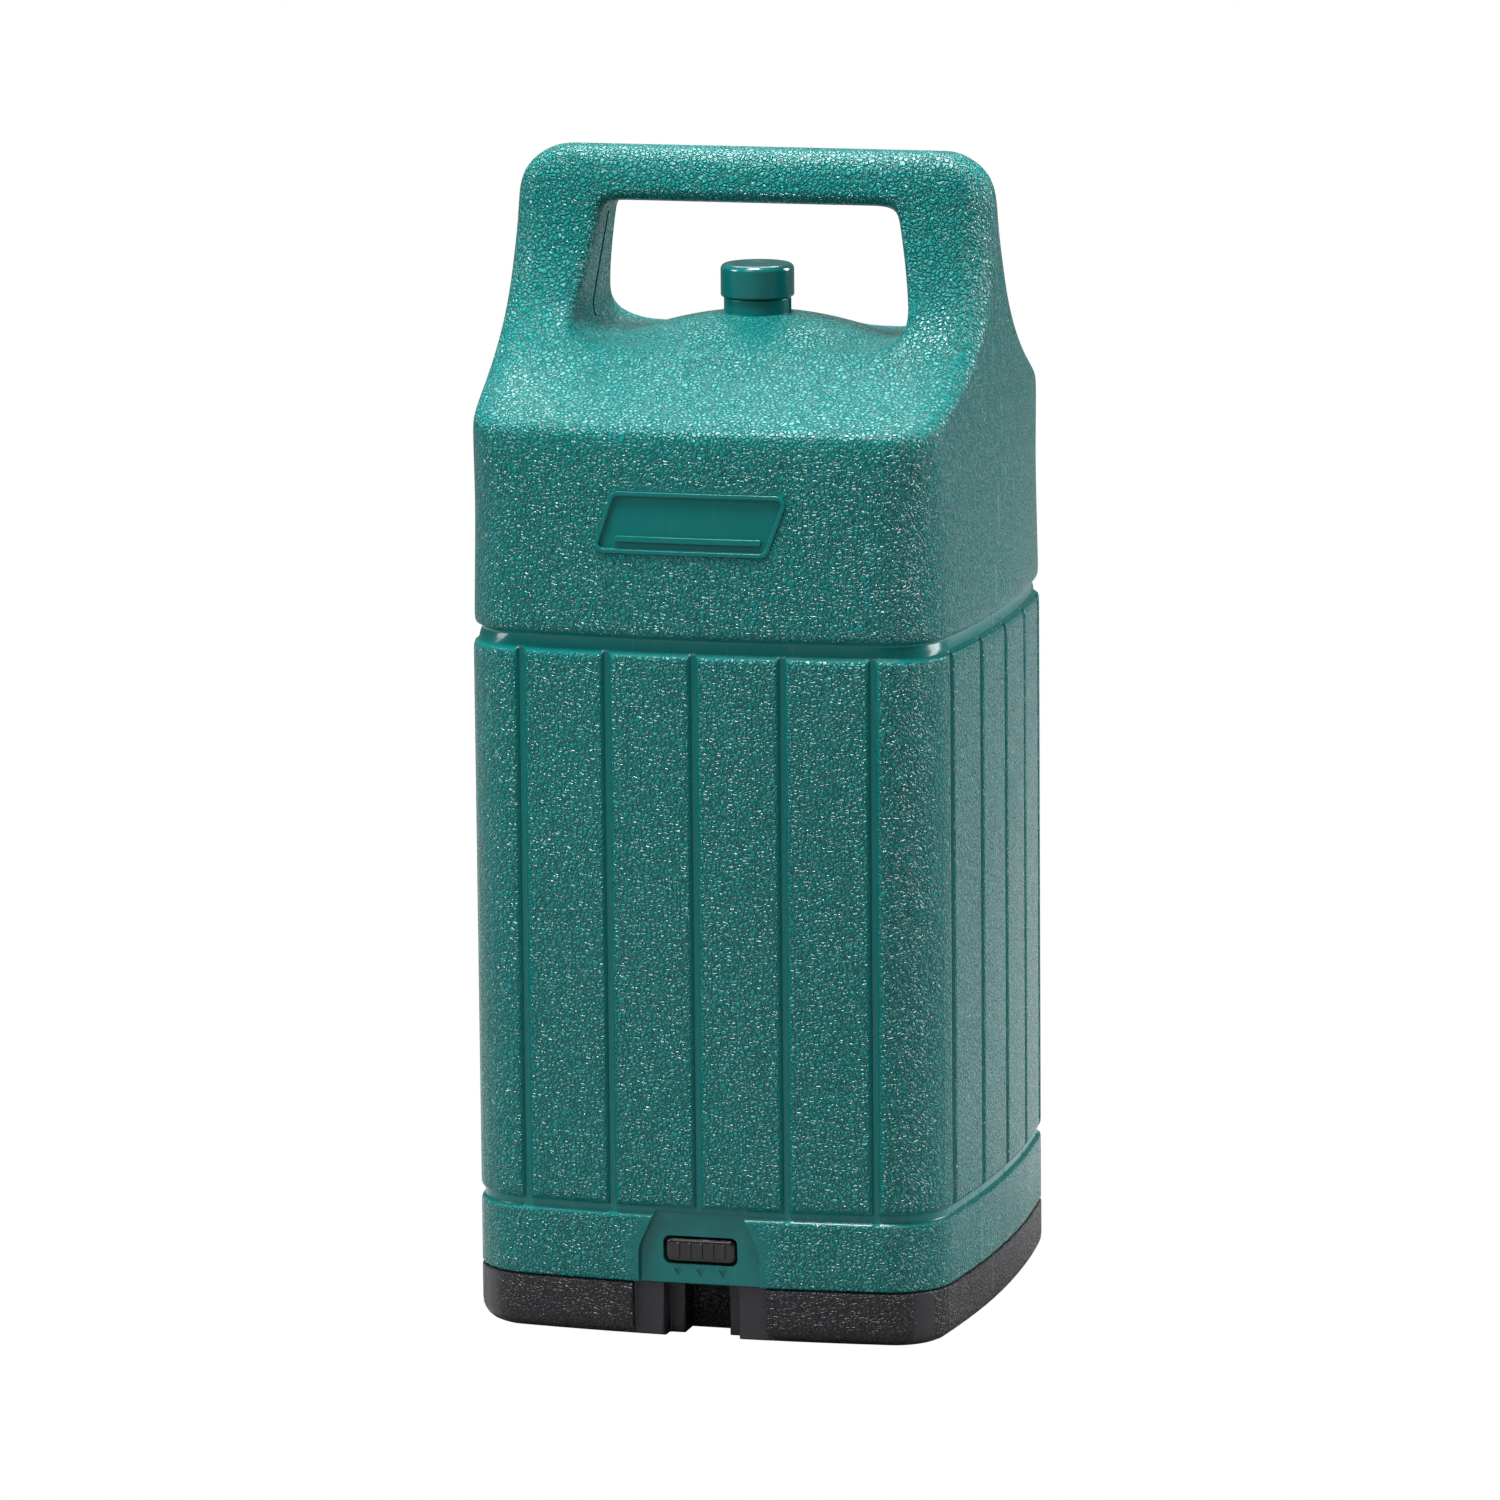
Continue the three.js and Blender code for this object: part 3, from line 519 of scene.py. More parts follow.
def moulded_plastic(name, color, pale, pebble, depth, rough, rub_sheen_amount, smooth_painted_light):
    """Grained polyethylene: the mesh's grain attribute says where the tool was left smooth. Painted shade
    darkens the creases, the smooth areas are darkened or lightened as painted shade or light, and the pale
    rubs on the side faces are partly a painted sheen.
    """
    material = bpy.data.materials.new(name)
    material.use_nodes = True
    tree = material.node_tree
    shader = tree.nodes["Principled BSDF"]
    shader.inputs["Specular IOR Level"].default_value = 0.32
    place = tree.nodes.new("ShaderNodeTexCoord").outputs["Object"]
    grain_mask = new_node(tree, "ShaderNodeAttribute", {"attribute_name": "grain"}).outputs["Fac"]
    grain = new_node(tree, "ShaderNodeGroup", {"node_tree": leather_grain}, Pebble=pebble)
    tree.links.new(place, grain.inputs["Vector"])
    rub_sheen = new_node(tree, "ShaderNodeGroup", {"node_tree": rubs_and_sheen})
    tree.links.new(place, rub_sheen.inputs["Vector"])
    across = tree.nodes.new("ShaderNodeSeparateXYZ")
    tree.links.new(place, across.inputs[0])
    aside = number(tree, "ABSOLUTE", across.outputs["X"], 0.0)
    # Pale rubs gathered on the side faces: partly wear, partly a painted sheen where the sides catch the
    # light.
    tree.links.new(ramp(tree, aside, 0.086, 0.098, rub_sheen_amount * 0.1, rub_sheen_amount), rub_sheen.inputs["Amount"])
    drift = new_node(tree, "ShaderNodeTexNoise", Scale=9.0, Detail=4.0)
    tree.links.new(place, drift.inputs["Vector"])

    tint = mix_colors(tree, drift.outputs[0], [c * 0.86 for c in color], [c * 1.12 for c in color])
    # Painted shade: this tint darkens the colour in the grain's creases.
    crease_shaded = new_node(tree, "ShaderNodeMix", {"data_type": "RGBA", "blend_type": "MULTIPLY"})
    crease_shaded.inputs["B"].default_value = (0.22, 0.34, 0.33, 1)
    tree.links.new(number(tree, "MULTIPLY", grain.outputs["Crease Shade"], grain_mask), crease_shaded.inputs["Factor"])
    tree.links.new(tint, crease_shaded.inputs["A"])
    # The pale mix is partly rubs and partly painted sheen.
    rubbed_and_sheened = new_node(tree, "ShaderNodeMix", {"data_type": "RGBA", "blend_type": "MIX"})
    rubbed_and_sheened.inputs["B"].default_value = (*pale, 1)
    tree.links.new(rub_sheen.outputs["Rub"], rubbed_and_sheened.inputs["Factor"])
    # Painted light and shade: smooth areas are multiplied by one figure, below 1 as shade in grooves and
    # recesses, above 1 as light in the base's finger pulls.
    smooth_light_tint = new_node(tree, "ShaderNodeMix", {"data_type": "RGBA", "blend_type": "MULTIPLY"})
    smooth_light_tint.inputs["B"].default_value = (smooth_painted_light, smooth_painted_light, smooth_painted_light, 1)
    tree.links.new(ramp(tree, grain_mask, 0.0, 1.0, 1.0, 0.0), smooth_light_tint.inputs["Factor"])
    tree.links.new(crease_shaded.outputs["Result"], smooth_light_tint.inputs["A"])
    tree.links.new(smooth_light_tint.outputs["Result"], rubbed_and_sheened.inputs["A"])
    tree.links.new(rubbed_and_sheened.outputs["Result"], shader.inputs["Base Color"])

    shine = number(tree, "ADD", number(tree, "MULTIPLY", rub_sheen.outputs["Smudge"], 0.08), rough)
    shine = number(tree, "ADD", shine, number(tree, "MULTIPLY", rub_sheen.outputs["Rub"], 0.2))
    tree.links.new(shine, shader.inputs["Roughness"])
    smooth_skin = number(tree, "MULTIPLY", drift.outputs[0], 0.05)
    relief = number(tree, "ADD", number(tree, "MULTIPLY", grain.outputs["Height"], grain_mask), smooth_skin)
    add_bump(tree, relief, 1.0, depth)
    return material


def paint(obj, material):
    obj.data.materials.clear()
    obj.data.materials.append(material)


# Its last figure lightens the smooth areas, the finger pulls among them: painted light in the recesses.
base_black = moulded_plastic(
    "base_black", (0.020, 0.018, 0.022), (0.22, 0.22, 0.23), 0.0018, 0.00042, 0.36, 0.3, 1.5)
paint(tray, base_black)
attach(tray, "base")
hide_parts("base_tray")

# ---- Lantern deck ------------------------------------------------------------------------------
# A flat black deck dropped into the tray, with a collared round seat for the foot of the lantern's
# fuel cylinder, notched round the latch housings and the finger pulls.

DECK_HALF = 92.7
DECK_BOTTOM, DECK_TOP = 21.0, 24.0
SEAT_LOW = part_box("lantern_deck")[0][2] / mm
SEAT_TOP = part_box("lantern_deck")[1][2] / mm
DECK_ROWS = [
    (DECK_BOTTOM, 55), (DECK_BOTTOM, DECK_HALF - 0.6), (DECK_BOTTOM + 0.3, DECK_HALF),
    (DECK_TOP - 1, DECK_HALF), (DECK_TOP - 0.3, DECK_HALF - 0.25), (DECK_TOP, DECK_HALF - 1), (DECK_TOP, 55),
]


def deck_ring(z, half):
    stops = [half * share for share in (-0.6, -0.3, 0, 0.3, 0.6)]
    return [(x, y, z) for x, y in plan_ring(half, half, max(6.0, 13 - (DECK_HALF - half)), stops, stops, 8)]


deck = grid_tube("lantern_deck_panel", [deck_ring(z, half) for z, half in DECK_ROWS])
edit(deck)
bpy.ops.mesh.select_mode(type="EDGE")
for level in (DECK_BOTTOM, DECK_TOP):
    choose_edges(deck, lambda a, b, edge: edge.is_boundary and max(abs(a.z - level), abs(b.z - level)) < 0.1)
    bpy.ops.mesh.edge_face_add()
leave_closed()
cut_away(deck, round_bar("collar", 55, (0, 0, SEAT_LOW), (0, 0, SEAT_TOP), sides=96, rounding=1.1), "UNION")
cut_away(deck, round_bar("seat", 52, (0, 0, SEAT_LOW + 3), (0, 0, SEAT_TOP + 20), sides=96, rounding=1.5))
for turn in (0, math.pi):
    for half, y in ((43.0, -90.3), (18.6, -84.2), (12.3, -73.7)):
        notch = block("notch", (-half, -110, 15), (half, y, 30), 1.0, 3, True)
        notch.data.transform(Matrix.Rotation(turn, 4, "Z"))
        cut_away(deck, notch)
for sx in DECK_SCREWS:
    for sy in DECK_SCREWS:
        cut_away(deck, round_bar("deck_hole", 2.2, (sx, sy, 15), (sx, sy, 30), sides=24))
soften(deck, 35)
grain = deck.data.attributes.new("grain", "FLOAT", "POINT")
for value in grain.data:
    value.value = 0.3
deck_black = moulded_plastic(
    "deck_black", (0.026, 0.025, 0.028), (0.2, 0.2, 0.21), 0.0012, 0.0003, 0.42, 0.25, 1.0)
paint(deck, deck_black)
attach(deck, "base")
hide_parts("lantern_deck")

# ---- Latches -----------------------------------------------------------------------------------
# Each is a glossy push button in the cover's window, with a flange behind the spigot's wall, two coil
# springs, and a small housing held by two screws. Raised grip bars stand on the button's face.

BUTTON_FRONT = -98.2
FLANGE_FRONT = LATCH_WALL[1] + 0.3
BUTTON_FACE = BUTTON_FRONT + 0.7


def join_into(target, *others):
    activate(target)
    for other in others:
        other.select_set(True)
    bpy.ops.object.join()


def rear_copy(obj, name):
    """The same piece at the rear: a copy with its own mesh, turned half a turn about the case."""
    twin = obj.copy()
    twin.data = obj.data.copy()
    twin.name = name
    twin.data.name = name
    bpy.context.collection.objects.link(twin)
    twin.data.transform(Matrix.Rotation(math.pi, 4, "Z"))
    return twin


button = block("front_push_button", (-14.2, BUTTON_FACE, 30.7), (14.2, FLANGE_FRONT + 1, 40.4), 2.6, 5, True)
edit(button)
bpy.ops.mesh.select_mode(type="EDGE")
choose_edges(button, lambda a, b, edge: max(a.y, b.y) < BUTTON_FACE + 0.01)
bpy.ops.mesh.bevel(offset=1.9 * mm, segments=5, profile=0.5)
bpy.ops.object.mode_set(mode="OBJECT")
grips = [block("grip", (x - 1.1, BUTTON_FRONT, 32.4), (x + 1.1, BUTTON_FACE + 1, 38.7), 0.4, 3)
         for x in (-9.2, -4.6, 0, 4.6, 9.2)]
flange = block("flange", (-18, FLANGE_FRONT, 27.6), (18, FLANGE_FRONT + 2, 43.5), 0.5, 2)
pegs = [round_bar("peg", 2.1, (x, FLANGE_FRONT + 1.5, LATCH_MIDDLE), (x, FLANGE_FRONT + 5.8, LATCH_MIDDLE),
                  "Y", 24, 0.4) for x in (-9, 9)]
join_into(button, *grips, flange, *pegs)
soften(button, 40)


def gloss_black(name, color, rough, wear):
    """Injection-moulded black: even and glossy, with fine swirls of flow and rubbed high spots."""
    material = bpy.data.materials.new(name)
    material.use_nodes = True
    tree = material.node_tree
    shader = tree.nodes["Principled BSDF"]
    place = tree.nodes.new("ShaderNodeTexCoord").outputs["Object"]
    flow = new_node(tree, "ShaderNodeTexNoise", Scale=90.0, Detail=3.0)
    tree.links.new(place, flow.inputs["Vector"])
    rub_sheen = new_node(tree, "ShaderNodeGroup", {"node_tree": rubs_and_sheen}, Amount=wear)
    tree.links.new(place, rub_sheen.inputs["Vector"])
    tint = mix_colors(tree, rub_sheen.outputs["Rub"], color, (0.12, 0.12, 0.125))
    tree.links.new(tint, shader.inputs["Base Color"])
    shine = ramp(tree, flow.outputs[0], 0.3, 0.7, rough - 0.05, rough + 0.07)
    tree.links.new(shine, shader.inputs["Roughness"])
    add_bump(tree, flow.outputs[0], 0.4, 0.00015)
    return material


latch_black = gloss_black("latch_black", (0.008, 0.007, 0.009), 0.19, 0.3)
paint(button, latch_black)
rear_button = rear_copy(button, "rear_push_button")
for piece, end in ((button, "front"), (rear_button, "rear")):
    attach(piece, f"{end}_latch")
    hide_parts(f"{end}_latch_button")

HOUSING_BACK = -73.0
housing = block("front_spring_housing", (-22, FLANGE_FRONT, 25.6), (22, HOUSING_BACK, 45.5), 1.0, 3)
ears = block(
    "ears", (-39, FLANGE_FRONT, LATCH_MIDDLE - 6), (39, FLANGE_FRONT + 2.2, LATCH_MIDDLE + 6), 0.8, 3)
cut_away(housing, ears, "UNION")
cut_away(housing, block("room", (-20, FLANGE_FRONT - 2, 27), (20, HOUSING_BACK - 2, 44.1), 0.8, 2))
for x in LATCH_SCREWS:
    cut_away(housing, round_bar("ear_hole", 1.8, (x, -95, LATCH_MIDDLE), (x, -80, LATCH_MIDDLE), "Y", 24))
housing_pegs = [round_bar("housing_peg", 2.1, (x, HOUSING_BACK - 5.5, LATCH_MIDDLE),
                          (x, HOUSING_BACK - 1.5, LATCH_MIDDLE), "Y", 24, 0.4) for x in (-9, 9)]
join_into(housing, *housing_pegs)
soften(housing, 40)
housing_black = gloss_black("housing_black", (0.02, 0.02, 0.022), 0.42, 0.1)
paint(housing, housing_black)
rear_housing = rear_copy(housing, "rear_spring_housing")
for piece, end in ((housing, "front"), (rear_housing, "rear")):
    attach(piece, "base")
    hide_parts(f"{end}_latch_housing")


def bright_steel(name, color, rough, stretch):
    """Plated or drawn steel, with fine lines from drawing or turning."""
    material = bpy.data.materials.new(name)
    material.use_nodes = True
    tree = material.node_tree
    shader = tree.nodes["Principled BSDF"]
    shader.inputs["Metallic"].default_value = 1.0
    place = tree.nodes.new("ShaderNodeTexCoord").outputs["Object"]
    lines = new_node(tree, "ShaderNodeMapping", Scale=stretch)
    tree.links.new(place, lines.inputs["Vector"])
    drawn = new_node(tree, "ShaderNodeTexNoise", Scale=900.0, Detail=3.0)
    tree.links.new(lines.outputs[0], drawn.inputs["Vector"])
    tint = mix_colors(tree, drawn.outputs[0], [c * 0.8 for c in color], color)
    tree.links.new(tint, shader.inputs["Base Color"])
    shine = ramp(tree, drawn.outputs[0], 0.3, 0.7, rough - 0.08, rough + 0.1)
    tree.links.new(shine, shader.inputs["Roughness"])
    add_bump(tree, drawn.outputs[0], 0.5, 0.00005)
    return material


# Springs: wire wound by the screw modifier, lying along Y.
spring_steel = bright_steel("spring_steel", (0.58, 0.58, 0.6), 0.32, (1, 0.1, 1))
SPRING_TURNS = 5
for end in ("front", "rear"):
    for side in ("left", "right"):
        node = f"{end}_latch_spring_{side}"
        low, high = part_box(node)
        y_low, y_high = sorted((low[1], high[1]))
        bpy.ops.object.select_all(action="DESELECT")
        bpy.ops.mesh.primitive_circle_add(vertices=10, radius=0.5 * mm, location=(3.3 * mm, 0, 0),
                                          rotation=(math.pi / 2, 0, 0))
        spring = named(f"{end}_coil_{side}")
        bpy.ops.object.transform_apply(location=True, rotation=True, scale=True)
        wind = spring.modifiers.new("wind", "SCREW")
        wind.axis = "Z"
        wind.iterations = SPRING_TURNS
        wind.screw_offset = (y_high - y_low - 1.0 * mm) / SPRING_TURNS
        wind.steps = 28
        wind.render_steps = 28
        bpy.ops.object.modifier_apply(modifier=wind.name)
        edit(spring)
        bpy.ops.mesh.select_mode(type="EDGE")
        choose_edges(spring, lambda a, b, edge: edge.is_boundary)
        bpy.ops.mesh.edge_face_add()
        leave_closed()
        x_middle = (low[0] + high[0]) / 2
        spring.data.transform(
            Matrix.Translation((x_middle, y_low + 0.5 * mm, LATCH_MIDDLE * mm))
            @ Matrix.Rotation(-math.pi / 2, 4, "X")
        )
        soften(spring, 60)
        paint(spring, spring_steel)
        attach(spring, "base")
        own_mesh(spring)
        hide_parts(node)

# ---- Screws ------------------------------------------------------------------------------------
# Zinc-plated pan heads with a cross recess: four hold the deck down, two hold each latch housing.

screw_steel = bright_steel("screw_steel", (0.46, 0.46, 0.45), 0.36, (1, 1, 1))


def pan_screw(name, head_radius, head_height, shank_radius, shank_length):
    """Head up along Z, with the underside of the head at the origin."""
    screw = round_bar(
        name, head_radius, (0, 0, 0), (0, 0, head_height), sides=36, rounding=head_radius * 0.22)
    arm, wide = head_radius * 0.55, head_radius * 0.13
    cut_away(screw, block("slot", (-arm, -wide, head_height * 0.45), (arm, wide, head_height + 1)))
    cut_away(screw, block("slot", (-wide, -arm, head_height * 0.45), (wide, arm, head_height + 1)))
    shank = round_bar(
        "shank", shank_radius, (0, 0, -shank_length), (0, 0, 0.3), sides=20, rounding=shank_radius * 0.5)
    join_into(screw, shank)
    soften(screw, 35)
    paint(screw, screw_steel)
    return screw


def placed_screw(pattern, name, place):
    piece = pattern.copy()
    piece.data = pattern.data.copy()
    piece.name = piece.data.name = name
    bpy.context.collection.objects.link(piece)
    piece.data.transform(place)
    return piece


DECK_HEAD = 2.3
LATCH_HEAD = 2.0
deck_screw = pan_screw("deck_screw_pattern", 3.8, DECK_HEAD, 1.8, 14)
latch_screw = pan_screw("latch_screw_pattern", 3.2, LATCH_HEAD, 1.4, 5)
for end, sy in (("front", -1), ("rear", 1)):
    for side in ("left", "right"):
        node = f"deck_screw_{end}_{side}"
        low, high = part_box(node)
        piece = placed_screw(deck_screw, f"{end}_{side}_deck_pan_screw", Matrix.Translation((
            (low[0] + high[0]) / 2, (low[1] + high[1]) / 2, high[2] - DECK_HEAD * mm)))
        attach(piece, "base")
        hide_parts(node)

        node = f"{end}_latch_screw_{side}"
        low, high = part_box(node)
        head_y = high[1] - LATCH_HEAD * mm if sy < 0 else low[1] + LATCH_HEAD * mm
        piece = placed_screw(
            latch_screw, f"{end}_{side}_latch_pan_screw",
            Matrix.Translation(((low[0] + high[0]) / 2, head_y, (low[2] + high[2]) / 2))
            @ Matrix.Rotation(math.pi / 2 * sy, 4, "X"))
        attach(piece, "base")
        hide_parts(node)
for pattern in (deck_screw, latch_screw):
    bpy.data.objects.remove(pattern, do_unlink=True)

# ---- Cover -------------------------------------------------------------------------------------
# One blow-moulded polyethylene shell: a tall body with belt grooves and upright grooves, and a
# shoulder that draws in to a hollow carrying handle over a shallow dome. The wall is 3 mm.

COVER_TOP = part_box("cover_shell")[1][2] / mm
COVER_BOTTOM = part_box("cover_shell")[0][2] / mm
RIB_PLACES = (-70.4, -35.2, 0.0, 35.2, 70.4)
LOWER_BELT = (48.9, 53.5)
UPPER_BELT = (271.4, 278.2)
PLATE_HALF = 24.5


def rib_depth(offset):
    """Depth of an upright groove at a distance from its middle."""
    shape = ((0.0, 2.0), (1.0, 1.9), (1.7, 0.6), (2.8, 0.0))
    offset = abs(offset)
    for (x0, d0), (x1, d1) in zip(shape, shape[1:]):
        if offset <= x1:
            return d0 + (d1 - d0) * (offset - x0) / (x1 - x0)
    return 0.0


RIB_STOPS = [place + step for place in RIB_PLACES for step in (-2.8, -1.7, -1.0, 0.0, 1.0, 1.7, 2.8)]
BODY_STOPS = sorted(RIB_STOPS + [-17.6, 17.6])

# Body rows: height, and how far the skin is drawn in.
BODY_ROWS = [
    (COVER_BOTTOM, 0.9), (COVER_BOTTOM + 0.3, 0.35), (COVER_BOTTOM + 1.0, 0.0), (30, 0), (40, 0), (46.8, 0),
    (48.3, 0.08), (49.0, 0.45), (49.5, 1.45), (50.1, 1.8), (52.3, 1.8), (52.9, 1.45), (53.5, 0.5),
    (54.6, 0.1), (56.5, 0), (62, 0), (110, 0), (165, 0), (220, 0), (260, 0), (267.5, 0),
    (269.6, 0.1), (270.8, 0.5), (271.5, 1.7), (272.2, 2.5), (274.0, 2.7),
]


def body_ring(z, inset):
    half = HALF - inset
    face = 1 - BOW * (half / HALF) ** 2
    stops = [stop / face for stop in BODY_STOPS]
    ring = plan_ring(half, half, CORNER - inset, stops, stops, 6)
    ribbed = []
    for x, y in ring:
        if LOWER_BELT[0] + 0.6 <= z <= UPPER_BELT[0] + 1:
            for across, along in ((x, y), (y, x)):
                depth = max(0.0, max(rib_depth(across - place) for place in RIB_PLACES) - inset)
                if abs(along) > 88 and depth > 0:
                    if across is x:
                        y -= math.copysign(depth, y)
                    else:
                        x -= math.copysign(depth, x)
        ribbed.append((x, y, z))
    return ribbed


cover = grid_tube("cover_shell_moulding", [body_ring(z, inset) for z, inset in BODY_ROWS])

# Shoulder and handle rows: height, half width and half depth. In side view they draw a bell.
TOP_ROWS = [
    (276.2, 97.3, 97.3), (277.4, 97.6, 97.6), (278.1, 99.4, 99.4), (279.8, 100.0, 100.0), (286, 99.9, 99.9),
    (305, 99.5, 99.5), (325, 99.1, 99.1), (343, 99.0, 98.8), (353.6, 98.9, 98.3), (357.4, 98.8, 97.0),
    (360.0, 98.7, 93.6), (362.5, 98.6, 87.6), (366.4, 98.5, 77.6), (371, 98.5, 65.4), (377, 98.4, 53.5),
    (384, 98.3, 42.8), (392, 98.2, 33.6), (401, 98.0, 26.6), (411, 97.8, 21.6), (421, 97.3, 18.2),
    (429, 96.9, 16.3), (436.4, 96.5, 15.0), (442, 95.8, 14.2), (447.2, 93.9, 13.2), (451.6, 90.2, 11.5),
    (454.9, 85.4, 9.0), (456.8, 80.4, 6.2), (COVER_TOP, 76.5, 3.6),
]
HOLE_ROWS = (384, 392, 401, 411, 421, 429, 436.4)


def hole_half(z):
    return 68.0 - 8.5 * min(1.0, max(0.0, (z - 392) / 44.4))


def top_ring(z, half_x, half_y):
    corner = min(CORNER - 6 * min(1.0, max(0.0, (z - 325) / 36)), half_y * 0.84)
    edge = hole_half(z) / (1 - BOW * (half_y / HALF) ** 2)
    stops_x = [edge * share / 5 for share in range(-5, 6)]
    flat = half_y - corner
    stops_y = [flat * share / 7 for share in (-5, -3, -1, 1, 3, 5)]
    return [(x, y, z) for x, y in plan_ring(half_x, half_y, corner, stops_x, stops_y, 4)]


top = grid_tube("cover_top", [top_ring(*row) for row in TOP_ROWS])

# The crown of the bar is closed by bridging its front half ring to its rear half ring.
edit(top)
bpy.ops.mesh.select_mode(type="EDGE")
end_step = 0.12
choose_edges(top, lambda a, b, edge: edge.is_boundary and min(a.z, b.z) > COVER_TOP - 0.1
             and not (abs(a.x) > 60 and abs(a.y) < end_step and abs(b.y) < end_step))
bpy.ops.mesh.bridge_edge_loops()

# The hand opening: faces out at the front and the rear, and a tunnel between the two holes.
bpy.ops.mesh.select_mode(type="FACE")
cage = bmesh.from_edit_mesh(top.data)
for face in cage.faces:
    middle = face.calc_center_median() / mm
    inside = HOLE_ROWS[0] < middle.z < HOLE_ROWS[-1] and abs(middle.x) < hole_half(middle.z) - 1
    face.select_set(inside)
bmesh.update_edit_mesh(top.data)
bpy.ops.mesh.delete(type="FACE")
bpy.ops.mesh.select_mode(type="EDGE")
choose_edges(top, lambda a, b, edge: edge.is_boundary and min(a.z, b.z) > 300 and a.y < 0)
shares = (1, 0.7, 0.4, 0.12, -0.12, -0.4, -0.7, -1)
for before, after in zip(shares, shares[1:]):
    bpy.ops.mesh.extrude_edges_move()
    bpy.ops.transform.resize(value=(1, after / before, 1), center_override=(0, 0, 0))
bpy.ops.mesh.select_all(action="SELECT")
bpy.ops.mesh.remove_doubles(threshold=0.01 * mm)
bpy.ops.object.mode_set(mode="OBJECT")

# The opening's floor lies a little lower than its lips, and its lower corners are drawn round.
for vertex in top.data.vertices:
    x, y, z = vertex.co / mm
    if abs(z - HOLE_ROWS[0]) < 0.01 and abs(x) < hole_half(z) - 5 and abs(y) < 42.5:
        vertex.co.z -= 1.2 * mm
    if abs(z - HOLE_ROWS[0]) < 0.01 and abs(abs(x) - hole_half(z)) < 0.8:
        vertex.co.x -= math.copysign(3.0, x) * mm
        vertex.co.z += 1.6 * mm

edit(top)
bpy.ops.mesh.select_mode(type="EDGE")


def on_rim(point):
    return any(abs(point.z - z) < 1.8 for z in HOLE_ROWS) and abs(point.x) < hole_half(point.z) + 0.6


def is_rim(a, b, edge):
    if len(edge.link_faces) != 2 or not (on_rim(a) and on_rim(b)):
        return False
    turned = edge.calc_face_angle(0.0) > math.radians(35)
    same_side = a.y * b.y > 0 and min(abs(a.y), abs(b.y)) > 13
    across = abs(a.y - b.y) < 12 and not (abs(a.z - b.z) < 0.5 and abs(a.x - b.x) < 0.5)
    return turned and same_side and across and min(a.z, b.z) > 382 and max(a.z, b.z) < 437


choose_edges(top, is_rim)
bpy.ops.mesh.bevel(offset=4.5 * mm, offset_type="OFFSET", segments=2, profile=0.5, clamp_overlap=True)
leave_closed()

smooth = top.modifiers.new("smooth", "SUBSURF")
smooth.levels = 2
smooth.render_levels = 2
bpy.ops.object.modifier_apply(modifier=smooth.name)

# The dome swells out of the floor and runs out softly into the lips.
DOME_FOOT, DOME_RISE, DOME_X, DOME_Y, DOME_BLEND = 381.8, 11.2, 55.0, 47.0, 1.0
for vertex in top.data.vertices:
    x, y, z = vertex.co / mm
    if 372 < z < 394 and abs(x) < 58 and abs(y) < 52:
        swell = DOME_FOOT + DOME_RISE * (1 - (x / DOME_X) ** 2 - (y / DOME_Y) ** 2)
        higher = (z + swell + math.hypot(z - swell, DOME_BLEND)) / 2
        vertex.co.z = higher * mm
join_into(cover, top)

# Body and top meet in the upper belt groove.
edit(cover)
bpy.ops.mesh.select_mode(type="EDGE")
choose_edges(cover, lambda a, b, edge: edge.is_boundary and 270 < a.z < 280)
bpy.ops.mesh.bridge_edge_loops()
leave_closed()
skin_count = len(cover.data.vertices)
wall = cover.modifiers.new("wall", "SOLIDIFY")
wall.thickness = WALL * mm
wall.offset = -1
bpy.ops.object.modifier_apply(modifier=wall.name)
bpy.ops.object.shade_smooth()

# Where the tool is smooth: the inside of the wall and the floors of the grooves. The material paints these
# darker, as shade.
def grain_at(x, y, z):
    if LOWER_BELT[0] - 0.4 < z < LOWER_BELT[1] + 0.6 or UPPER_BELT[0] - 1.6 < z < UPPER_BELT[1] + 0.2:
        return 0.0
    if LOWER_BELT[0] < z < UPPER_BELT[1]:
        for across, along in ((x, y), (y, x)):
            if abs(along) > 85 and min(abs(across - place) for place in RIB_PLACES) < 2.2:
                return 0.0
    return 1.0


grain = cover.data.attributes.new("grain", "FLOAT", "POINT")
for index, vertex in enumerate(cover.data.vertices):
    outside = index < skin_count
    grain.data[index].value = grain_at(*(vertex.co / mm)) if outside else 0.1


def crisp_bevel(obj, width, segments=2, degrees=40):
    rounded = obj.modifiers.new("crisp_bevel", "BEVEL")
    rounded.width = width * mm
    rounded.segments = segments
    rounded.limit_method = "ANGLE"
    rounded.angle_limit = math.radians(degrees)
    rounded.miter_outer = "MITER_ARC"
    bpy.context.view_layer.objects.active = obj
    bpy.ops.object.modifier_apply(modifier=rounded.name)


# Latch plates: a smooth panel set 3 mm back at the foot of the front and the rear, with the button's
# window through it and three small arrows that point to the pull below.
PLATE_FACE = -97.0
PLATE_BACK = -94.3


def plate_outline(grow, bottom, top):
    half, narrow = PLATE_HALF + grow, 17.5 + grow
    return rounded_outline([
        (-half, bottom, 0), (half, bottom, 0), (half, 36.5, 14), (narrow, top, 0),
        (-narrow, top, 0), (-half, 36.5, 14),
    ])


